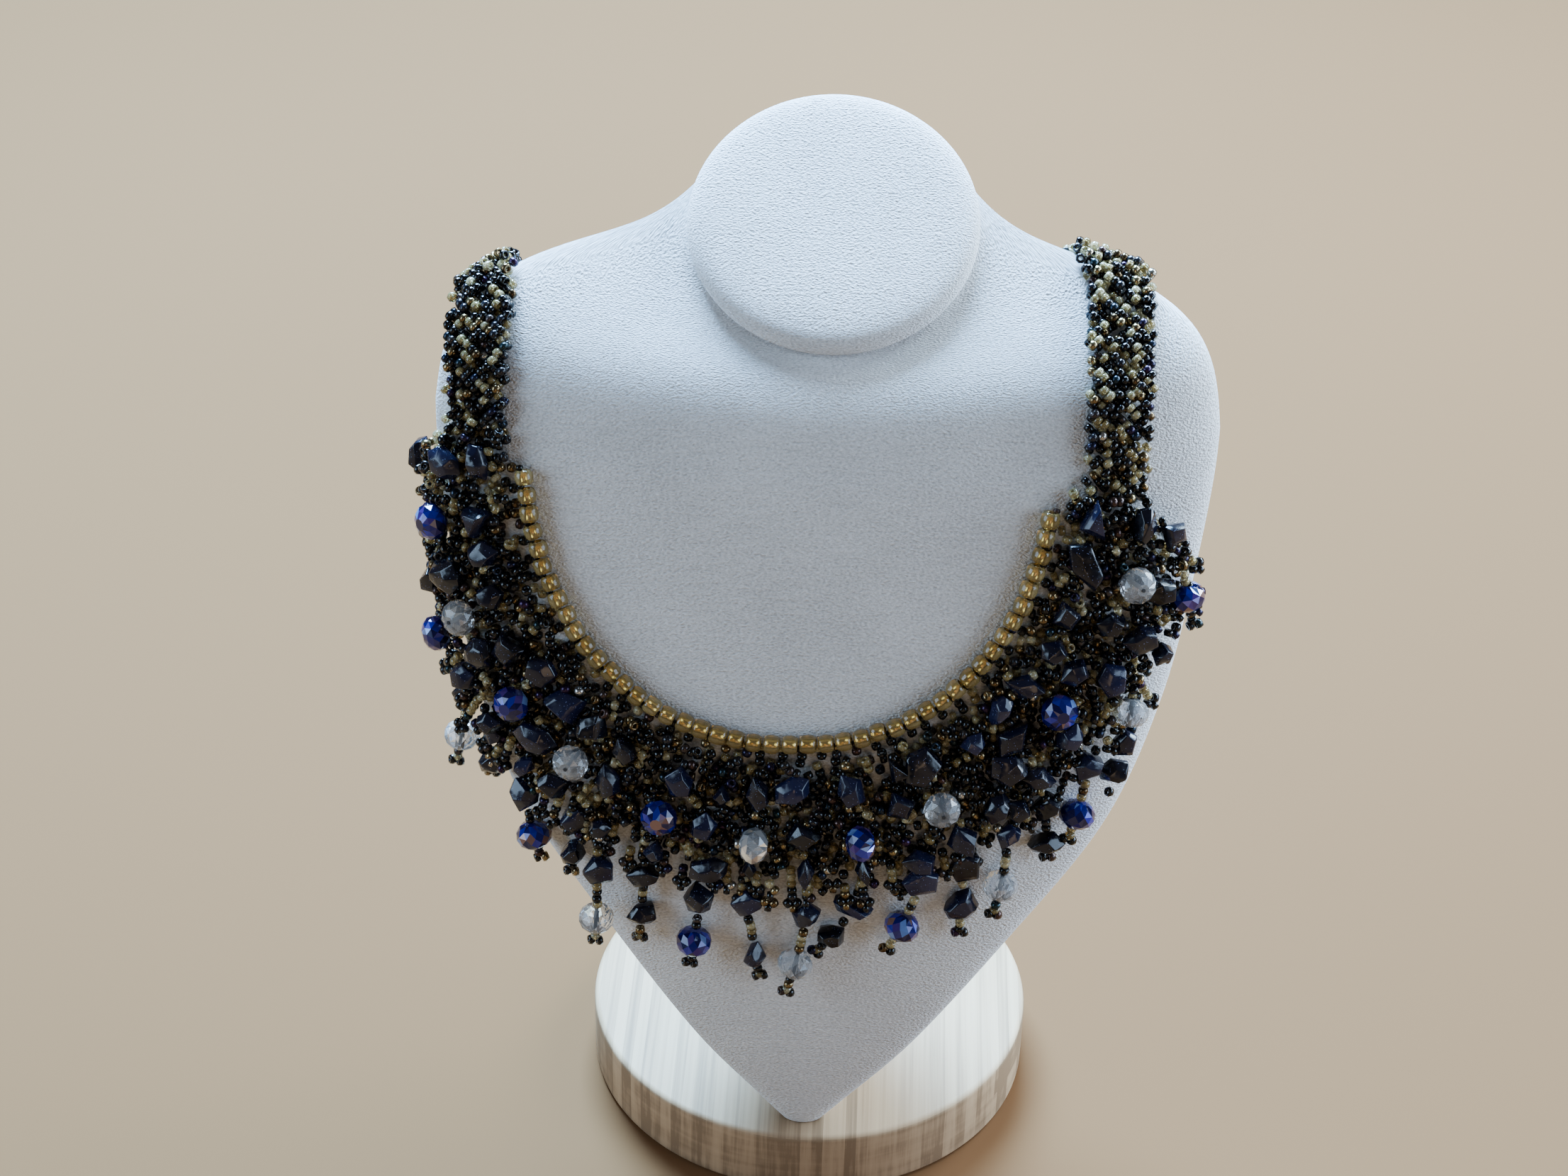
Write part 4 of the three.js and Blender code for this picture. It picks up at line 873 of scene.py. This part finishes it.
def chartGrid(spec):
    along = np.linspace(bibSpec["left"] - spec["past"], bibSpec["right"] + spec["past"], spec["steps"])
    a, d = np.meshgrid(along, np.arange(*spec["down"]), indexing="ij")
    a = drawnIn(a, d)
    place, _, _, _, level, around = chartAt(a.ravel(), d.ravel(), 0)
    return a, d, place.reshape(*a.shape, 3), level.reshape(a.shape), around.reshape(a.shape)


netSpec = {   # three layers of short strands, each of them laid over the linen in its own direction
    "strands": (520, 380, 260), "beadsPerStrand": 9, "pitch": 1.62, "firstLift": 1.2, "layerRise": 1.5,
    "liftSpread": 0.22, "wave": 0.35, "waveTurn": 0.9, "tilt": 0.12, "tiltRise": 0.16, "bend": 0.3,
    "smokyFrom": (3, 4, 4), "from": 2.8, "inner": 2.2, "past": 1.2, "ends": (0.01, 0.012)}


def inNet(along, down, spec):
    low, high = (drawnIn(bibSpec[side], down) for side in ("left", "right"))
    return (low - spec["ends"][0] < along < high + spec["ends"][1]
            and spec["inner"] < down < bibSpec["width"] + spec["past"])


def startShares(a, d, place, spec):
    # each grid cell's share of the strands' starts, by its area
    area = np.linalg.norm(np.cross(np.diff(place, axis=0)[:, :-1], np.diff(place, axis=1)[:-1]), axis=2)
    a, d = a[:-1, :-1], d[:-1, :-1]
    inside = (d > spec["from"]) & (d < bibSpec["width"] - 0.5)
    inside &= (a > drawnIn(bibSpec["left"], d)) & (a < drawnIn(bibSpec["right"], d))
    weight = np.where(inside, area, 0).ravel()
    weight /= weight.sum()
    return weight, area.shape


def strewBib(spec):
    a, d, place, level, around = chartGrid(gridSpec)
    weight, shape = startShares(a, d, place, spec)
    tree = kdtree.KDTree(a.size)
    for i, point in enumerate(place.reshape(-1, 3)):
        tree.insert(point, i)
    tree.balance()
    field = BeadField()
    hangColumns(field, columnSpec)
    strand = 0
    for layer, count in enumerate(spec["strands"]):
        i, j = np.unravel_index(rng.choice(len(weight), count, p=weight), shape)
        spotLevel, spotAround = level[i, j], around[i, j]
        heading = unit(rng.normal(size=(count, 3)))
        runs = rng.integers(0, 6, count)
        for k in range(spec["beadsPerStrand"]):
            out = slopesAt(spotLevel, spotAround)[2]
            heading = unit(heading - dot(heading, out) * out)
            base = bustPoint(spotLevel, spotAround)
            lift = spec["firstLift"] + layer * spec["layerRise"]
            wave = spec["wave"] * np.sin(k * spec["waveTurn"] + runs)
            lifts = lift + rng.normal(0, spec["liftSpread"], count) + wave
            tilt = rng.normal(0, spec["tilt"] + spec["tiltRise"] * layer, count)
            axis = unit(heading + out * tilt[:, None])
            spots = base + out * lifts[:, None]
            for n in range(count):
                near = tree.find(base[n])[1]
                if inNet(a.flat[near], d.flat[near], spec):
                    kind = "smoky" if (k + runs[n]) % 6 >= spec["smokyFrom"][layer] else "dark"
                    field.add(spots[n], axis[n], pickFinish(kind), strand + n)
            heading = unit(heading + np.cross(out, heading) * rng.normal(0, spec["bend"], count)[:, None])
            spotLevel, spotAround, heading = stepOver(spotLevel, spotAround, heading, spec["pitch"])
        strand += count
    hangStubs(field, stubSpec)
    return field


columnSpec = {"smokyShare": 0.2, "start": 1.4, "pitch": 1.5, "lift": 1.5, "rise": 0.25, "drift": 0.004,
              "lean": 0.15}


def hangColumns(field, spec):
    # short columns of one or two beads tie the amber string to the net
    for i in range(amberRow["count"]):
        along = amberRow["left"] + (amberRow["right"] - amberRow["left"]) * i / amberRow["count"]
        kind = "smoky" if rng.random() < spec["smokyShare"] else "dark"
        for k in range(int(rng.integers(1, 3))):
            place, across, fall, _ = spotAt(along + spec["drift"] * rng.normal(),
                                            spec["start"] + spec["pitch"] * k, spec["lift"] + spec["rise"] * k)
            axis = unit(fall + across * rng.normal() * spec["lean"])
            field.add(place, axis, pickFinish(kind), -1 - i)


stubSpec = {"edge": 270, "every": 3.1, "least": 3, "most": 6, "pitch": 1.6, "start": (1.0, 3.0),
            "lift": (2.0, 4.0), "plumb": 0.8, "follow": 0.6, "spread": 0.12, "off": 0.1, "tip": 1.2,
            "strand": 100000}


def hangStubs(field, spec):
    # short fringe of single strands along the lower edge
    count = int(spec["edge"] / spec["every"])
    for i in range(count):
        strand = spec["strand"] + i
        along = bibSpec["left"] + (bibSpec["right"] - bibSpec["left"]) * (i + rng.uniform(0.2, 0.8)) / count
        start = bibSpec["width"] - rng.uniform(*spec["start"])
        along = drawnIn(along, start)
        place, _, fall, out = spotAt(along, start, rng.uniform(*spec["lift"]))
        down = np.array([0, 0, -1.0]) * spec["plumb"] + fall * spec["follow"]
        down = unit(down + rng.normal(size=3) * spec["spread"])
        down = unit(down - min(0, np.dot(down, out)) * out + out * spec["off"])
        length = int(rng.integers(spec["least"], spec["most"] + 1))
        shift = rng.random() < 0.5
        for k in range(length):
            kind = "smoky" if (k < length - 2) == shift else "dark"
            field.add(place + down * spec["pitch"] * k, down, pickFinish(kind), strand, margin=0.2)
        end = place + down * spec["pitch"] * length
        aside = unit(np.cross(down, out))
        tips = ((end + aside, down + aside), (end - aside, down - aside), (end + down * spec["tip"], aside))
        for spot, axis in tips:
            field.add(spot, unit(axis), pickFinish("dark"), strand, margin=0.1)


def seedGroups(kept):
    return [(seedModel, [seedPlace(p, a, f) for p, a, f in kept])]


def makeBibBeads(spec):
    field = strewBib(spec)
    middle = spotAt(0, bibSpec["width"] / 2, 0)[0][0]
    for side, sign in (("Left", -1), ("Right", 1)):
        kept = [bead for bead in field.kept if (bead[0][0] - middle) * sign >= 0]
        piece = copiesOf("bibBeads" + side, seedGroups(kept), beadFinishes)
        finishPiece(piece, "seed_beads", "bib_" + side.lower())
    print("bib beads", len(field.kept))
    return field


# the amber string, with a small bead between each two

amberRow = {"count": 45, "left": -0.91, "right": 0.88, "offset": -1.7, "lift": 2.45, "drift": 0.12,
            "lean": 0.05, "size": (0.95, 1.03), "stretch": (0.92, 1.04), "smallDown": 1.1, "smallSink": 0.3,
            "smallSize": 0.72, "smallDark": 0.7}


def makeAmber(spec):
    places, between = [], []
    step = (spec["right"] - spec["left"]) / spec["count"]
    for i in range(spec["count"]):
        along = spec["left"] + step * (i + 0.5)
        place, across, fall, out = spotAt(along, spec["offset"] + rng.normal() * spec["drift"], spec["lift"])
        axis = unit(across + fall * rng.normal() * spec["lean"] + out * rng.normal() * spec["lean"])
        x, y = sideways(axis, out)
        size = rng.uniform(*spec["size"])
        places.append((placeOf(place, x, y, axis, (size, size, size * rng.uniform(*spec["stretch"]))), 0,
                       rng.random()))
    for i in range(spec["count"] + 1):
        place, across, _, _ = spotAt(spec["left"] + step * i, spec["offset"] + spec["smallDown"],
                                     spec["lift"] - spec["smallSink"])
        kind = "dark" if rng.random() < spec["smallDark"] else "smoky"
        between.append(seedPlace(place, across, 2 + pickFinish(kind), spec["smallSize"]))
    piece = copiesOf("amberBeads", [(amberModel, places), (seedModel, between)],
                     [amberGlass, goldLining, *beadFinishes])
    finishPiece(piece, "amber_glass", "amber_row")


# the straps

strapSpec = {"width": 12, "down": 0.33, "turnShare": 0.975, "lift": 1.2, "clasp": 11, "lowRow": 7.7,
             "swing": 1.4, "climb": 0.95, "spacing": 2.15, "pitch": 1.62, "layers": 2, "layerRise": 1.45,
             "drift": 0.12, "edgeWave": 0.35, "waveTurn": 2.4, "skipped": 0.3, "liftSpread": 0.15, "tilt": 0.16,
             "under": 3, "riseSteps": 24, "overSteps": 30, "backSteps": 90, "strand": 200000}
strapSides = {   # distance from the middle, where the bib ends, how long it holds and how soon it is down
    "left": {"sign": -1, "out": 72, "along": -1.0, "hold": 0.1, "dip": 0.22},
    "right": {"sign": 1, "out": 60, "along": 0.93, "hold": 0.0, "dip": 0.32}}


def levelOfHalf(half):
    low, high = np.full_like(half, float(bustForm["shoulderRow"])), np.full_like(half, float(lastRow))
    return halved(low, high, lambda middle: sectionAt(middle)[..., 2] > half)


def strapRoute(side, spec):
    # up the chest from the bib's end, over the shoulder, then across behind the neck
    sign, out = side["sign"], float(side["out"])
    foot = spotAt(side["along"], bibSpec["width"] * spec["down"], 0)[0][2] + gap
    turnFrom = math.asin(out / (spec["turnShare"] * bustForm["shoulderHalf"]))
    overAround = np.linspace(turnFrom, math.pi / 2, spec["overSteps"])
    overLevel = levelOfHalf(out / np.sin(overAround))
    top = bustPoint(overLevel[0], sign * overAround[0])[2]
    z = np.linspace(foot - spec["under"], top, spec["riseSteps"], endpoint=False)
    riseLevel, riseAround = chestSpot(np.full_like(z, sign * out), z)
    t = np.linspace(0, 1, spec["backSteps"])[1:]
    swung = (np.maximum(0, t - side["hold"]) / (1 - side["hold"])) ** spec["swing"]
    x = out + (spec["clasp"] / 2 + gap - out) * swung
    u = np.clip(t / side["dip"], 0, 1)
    ridge = overLevel[-1]
    backLevel = ridge + (spec["lowRow"] - ridge) * u * u * (3 - 2 * u)
    backAround = math.pi - aroundAt(backLevel, x)
    level = np.concatenate([riseLevel, overLevel, backLevel])
    around = np.concatenate([riseAround, sign * overAround, sign * backAround])
    return level, around, runAlong(bustPoint(level, around))


def strapPlace(route, t, across, lift):
    level, around, run = route

    def spot(t):
        return np.interp(t, run, level), np.interp(t, run, around)

    tangent = unit(bustPoint(*spot(t + 1)) - bustPoint(*spot(t - 1)))
    sideAxis = unit(np.cross(tangent, slopesAt(*spot(t))[2]))
    atLevel, atAround, _ = walkOver(*spot(t), sideAxis * np.sign(across + 1e-9), abs(across), 6)
    out = slopesAt(atLevel, atAround)[2]
    return bustPoint(atLevel, atAround) + out * lift, tangent, sideAxis


def makeStrap(name, side, spec, field):
    # slanting strands climb from edge to edge: four dark beads, then two pale ones, over and over
    route = strapRoute(side, spec)
    end, wide, kept = route[2][-1], spec["width"], []
    strands = int(end / spec["spacing"])
    for layer in range(spec["layers"]):
        lean = spec["climb"] if layer == 0 else -spec["climb"]
        for row in range(-6, strands + 6):
            beads = int(wide * math.hypot(1, lean) / spec["pitch"]) + 1
            shift = rng.integers(0, 3)
            for k in range(beads + 1):
                across = -wide / 2 + wide * k / beads
                t = row * spec["spacing"] + (across + wide / 2) * lean
                t = t + (0 if lean > 0 else wide * spec["climb"]) + rng.normal() * spec["drift"]
                wave = spec["edgeWave"] * math.sin(row * spec["waveTurn"]) if k in (0, beads) else 0
                across += rng.normal() * spec["drift"] + wave
                if not 0 < t < end or (layer and rng.random() < spec["skipped"]):
                    continue
                lift = spec["lift"] + 0.1 + layer * spec["layerRise"] + rng.normal() * spec["liftSpread"]
                place, tangent, sideAxis = strapPlace(route, t, across, lift)
                kind = "smoky" if (k + shift + row) % 6 >= 4 else "dark"
                axis = unit(sideAxis + tangent * lean + rng.normal(size=3) * spec["tilt"])
                strand = spec["strand"] + row * 2 + layer
                if field.add(place, axis, pickFinish(kind), strand, own=1.3, other=1.45, margin=0.3):
                    kept.append(field.kept.pop())
    piece = copiesOf("strapBeads" + name.capitalize(), seedGroups(kept), beadFinishes)
    finishPiece(piece, "seed_beads", "strap_" + name)
    print("strap", name, len(kept))


# the fringe drops

drops = [   # share along, length, lean, stand-off, glass, glass at, stones as (at, length, width)
    (-0.56, 24, -3, 4.8, "clear", 18, [(6.5, 6, 5.5)]),
    (-0.47, 12, -1, 3.4, None, 0, [(2.8, 5.5, 5), (9.5, 6.5, 6)]),
    (-0.405, 24, 3, 4.8, "blue", 19, [(8, 7.5, 6)]),
    (-0.31, 17, -1, 3.4, None, 0, [(4, 6.5, 6), (12.5, 6, 5)]),
    (-0.27, 30, -1, 6, "clear", 25, [(12, 6.5, 6)]),
    (-0.2, 25, -1, 3.4, None, 0, [(8.5, 5.5, 7), (19.5, 5, 6)]),
    (-0.115, 26, -2, 4.8, "blue", 21, [(9.5, 7, 6)]),
    (-0.045, 28, 3, 3.4, None, 0, [(8.5, 6.5, 7), (23, 6, 4.5)]),
    (0.055, 31, -4, 4.8, "clear", 24, [(10.5, 6, 5.5)]),
    (0.135, 22, -9, 3.4, None, 0, [(9.5, 4, 8), (17.5, 5, 6)]),
    (0.22, 23, -6, 4.8, "blue", 17.5, [(6, 6, 7)]),
    (0.285, 24, 0, 3.4, None, 0, [(7, 7.5, 6), (17, 7, 7)]),
    (0.355, 24, -2, 4.8, "clear", 17.5, [(5, 6, 5)]),
    (0.42, 17, 1, 3.4, None, 0, [(5, 6.5, 6), (14, 4.5, 7.5)]),
    (0.505, 21, -3, 4.8, "blue", 16, [(5, 6, 6)]),
    (0.615, 23, -4, 4.8, "clear", 6.5, [(13, 6, 4.5), (19.5, 5.5, 6)]),
    (0.83, 15, 3, 5.4, "blue", 9.5, [])]
dropSpec = {"radius": 1.0, "lift": 2.2, "settle": 0.25, "steps": 12, "pitch": 1.5, "stoneThick": 4,
            "stoneSides": (5, 6), "stoneSwell": (1.1, 1.06, 1.3), "spin": 0.25, "glassHalf": 2.9,
            "room": 0.55, "near": 2.2, "start": -1.5, "past": 0.8, "drift": 0.1, "tilt": 0.12,
            "tip": (0.9, 1.1)}


def hangingPath(row, spec):
    along, length, lean, off = row[:4]
    slant = abs(spotAt(along, bibSpec["width"], 0)[1][2])
    below = bibSpec["width"] + gap + spec["radius"] * slant
    start = spotAt(along, below, spec["lift"])[0]
    t = np.linspace(0, 1, spec["steps"] + 1)
    x = start[0] + lean * t * t
    z = start[2] - length * t
    level, around = chestSpot(x, z)
    point = bustPoint(level, around)
    met = (np.abs(point[:, 0] - x) < 0.05) & (np.abs(point[:, 2] - z) < 0.5)
    u = np.clip(t / spec["settle"], 0, 1)
    stand = spec["lift"] + (off - spec["lift"]) * u * u * (3 - 2 * u)
    y, path = start[1], []
    for k in range(len(t)):
        if met[k]:
            y = min(y, point[k, 1] - stand[k])
        path.append((x[k], y, z[k]))
    return np.array(path)


def placeOn(path, run, distance):
    def spot(distance):
        return np.array([np.interp(distance, run, path[:, k]) for k in range(3)])

    fall = unit(spot(distance + 1) - spot(distance - 1))
    across = unit(np.cross(fall, (0, -1.0, 0)))
    return spot(distance), fall, across, np.cross(across, fall)


def makeDrop(index, row, spec):
    length, glass, glassAt, stones = row[1], *row[4:]
    path = hangingPath(row, spec)
    run = runAlong(path)
    run *= length / run[-1]
    stoneSlot, glassSlot, threadSlot = range(len(beadFinishes), len(beadFinishes) + 3)
    taken, groups, seeds = [], [], []
    for i, (where, long, wide) in enumerate(stones):
        place, fall, across, out = placeOn(path, run, where)
        model = anyChip(spec["stoneSides"][i % 2])
        spin = rng.normal() * spec["spin"]
        across, out = (across * math.cos(spin) + out * math.sin(spin),
                       out * math.cos(spin) - across * math.sin(spin))
        scale = [size * more for size, more in zip((wide, long, spec["stoneThick"]), spec["stoneSwell"])]
        groups.append((model, [(placeOf(place, across, -fall, out, scale), stoneSlot, rng.random())]))
        taken.append((where - long / 2, where + long / 2))
    if glass:
        place, fall, across, out = placeOn(path, run, glassAt)
        matrix = placeOf(place, across, -out, fall)
        groups.append((rondelleModel, [(matrix, glassSlot, 0.5)]))
        if glass == "clear":
            groups.append((threadModel, [(matrix, threadSlot, 0.5)]))
        taken.append((glassAt - spec["glassHalf"], glassAt + spec["glassHalf"]))
    where = spec["start"]
    smokyRun = rng.random() < 0.5
    while where < length + spec["past"]:
        if all(not low - spec["room"] < where < high + spec["room"] for low, high in taken):
            inside = min(max(where, 0), length)
            place, fall, across, out = placeOn(path, run, inside)
            place = place + fall * (where - inside)
            near = any(min(abs(where - low), abs(where - high)) < spec["near"] for low, high in taken)
            kind = "smoky" if near != smokyRun else "dark"
            seeds.append(seedPlace(place + rng.normal(size=3) * spec["drift"],
                                   unit(fall + rng.normal(size=3) * spec["tilt"]), pickFinish(kind)))
        where += spec["pitch"]
    place, fall, across, out = placeOn(path, run, length)
    for k in range(1 if glass and index % 2 else 2):
        offset = across * (k * 2 - 1) * spec["tip"][0] + fall * spec["tip"][1]
        seeds.append(seedPlace(place + offset, unit(across + out * 0.5), pickFinish("dark")))
    groups.append((seedModel, seeds))
    finishes = [*beadFinishes, goldstone, blueCrystal if glass == "blue" else clearCrystal, darkThread]
    piece = copiesOf(f"drop{index + 1}", groups, finishes)
    finishPiece(piece, "goldstone", f"drop_{index + 1}")


# everything is made in this order, which the chance values depend on

makeCamera(cameraSpec)
makeBase(baseSpec)
makeBust(bustSkin)
makeDisc(discOutline, bustForm)
print("stand ready")
makeStones(bibStones + edgeStones, stoneSpec)
makeRondelles(bibRondelles, rondelleSpec)
beadField = makeBibBeads(netSpec)
makeAmber(amberRow)
for name, side in strapSides.items():
    makeStrap(name, side, strapSpec, beadField)
for index, row in enumerate(drops):
    makeDrop(index, row, dropSpec)
print("necklace ready")

for name, finish in (("base_dowel", dowelWood), ("clasp", brassMetal)):
    nodes[name].data.materials.clear()
    nodes[name].data.materials.append(finish)
chips = [model for models in chipModels.values() for model in models]
for model in [seedModel, amberModel, rondelleModel, threadModel, *chips]:
    bpy.data.objects.remove(model)


# floor and light

floorSpec = {"size": 6.0, "middle": (0, 0.5, 0)}
lampSpecs = {   # where each soft lamp hangs (metres), its width, its strength and its colour
    "window": {"place": (-0.2, 0.79, 1.03), "size": 0.7, "power": 290, "colour": (0.32, 0.61, 1.0)},
    "rightWindow": {"place": (0.75, 0.6, 0.8), "size": 0.6, "power": 45, "colour": (0.58, 0.8, 1.0)},
    "rightSide": {"place": (1.15, 0.25, 0.45), "size": 0.5, "power": 22, "colour": (0.58, 0.76, 1.0)},
    "leftFront": {"place": (-1.05, -0.35, 0.5), "size": 0.8, "power": 13, "colour": (0.52, 0.74, 1.0)},
    "rightFront": {"place": (1.05, -0.4, 0.5), "size": 0.8, "power": 12, "colour": (0.54, 0.74, 1.0)},
    "front": {"place": (0.1, -1.1, 0.3), "size": 0.4, "power": 1.0, "colour": (1.0, 0.72, 0.45)}}
lampAim = (0, 0, 0.15)
roomLight = {"colour": (1.0, 0.92, 0.84, 1), "strength": 0.09}


def makeFloor(spec):
    deselectAll()
    bpy.ops.mesh.primitive_plane_add(size=spec["size"], location=spec["middle"])
    floor = bpy.context.object
    floor.name = "studioFloor"
    bpy.ops.object.transform_apply()
    floor.data.materials.append(floorPaint)


def makeLamp(name, spec, aim):
    data = bpy.data.lights.new(name, "AREA")
    data.size, data.energy, data.color = spec["size"], spec["power"], spec["colour"]
    light = bpy.data.objects.new(name, data)
    bpy.context.scene.collection.objects.link(light)
    light.location = spec["place"]
    light.rotation_euler = (Vector(aim) - light.location).to_track_quat("-Z", "Y").to_euler()


def makeRoomLight(spec):
    world = bpy.data.worlds.new("studio")
    world.use_nodes = True
    background = world.node_tree.nodes["Background"]
    background.inputs[0].default_value, background.inputs[1].default_value = spec["colour"], spec["strength"]
    bpy.context.scene.world = world


makeFloor(floorSpec)
for name, spec in lampSpecs.items():
    makeLamp(name, spec, lampAim)
makeRoomLight(roomLight)
print("stage ready")
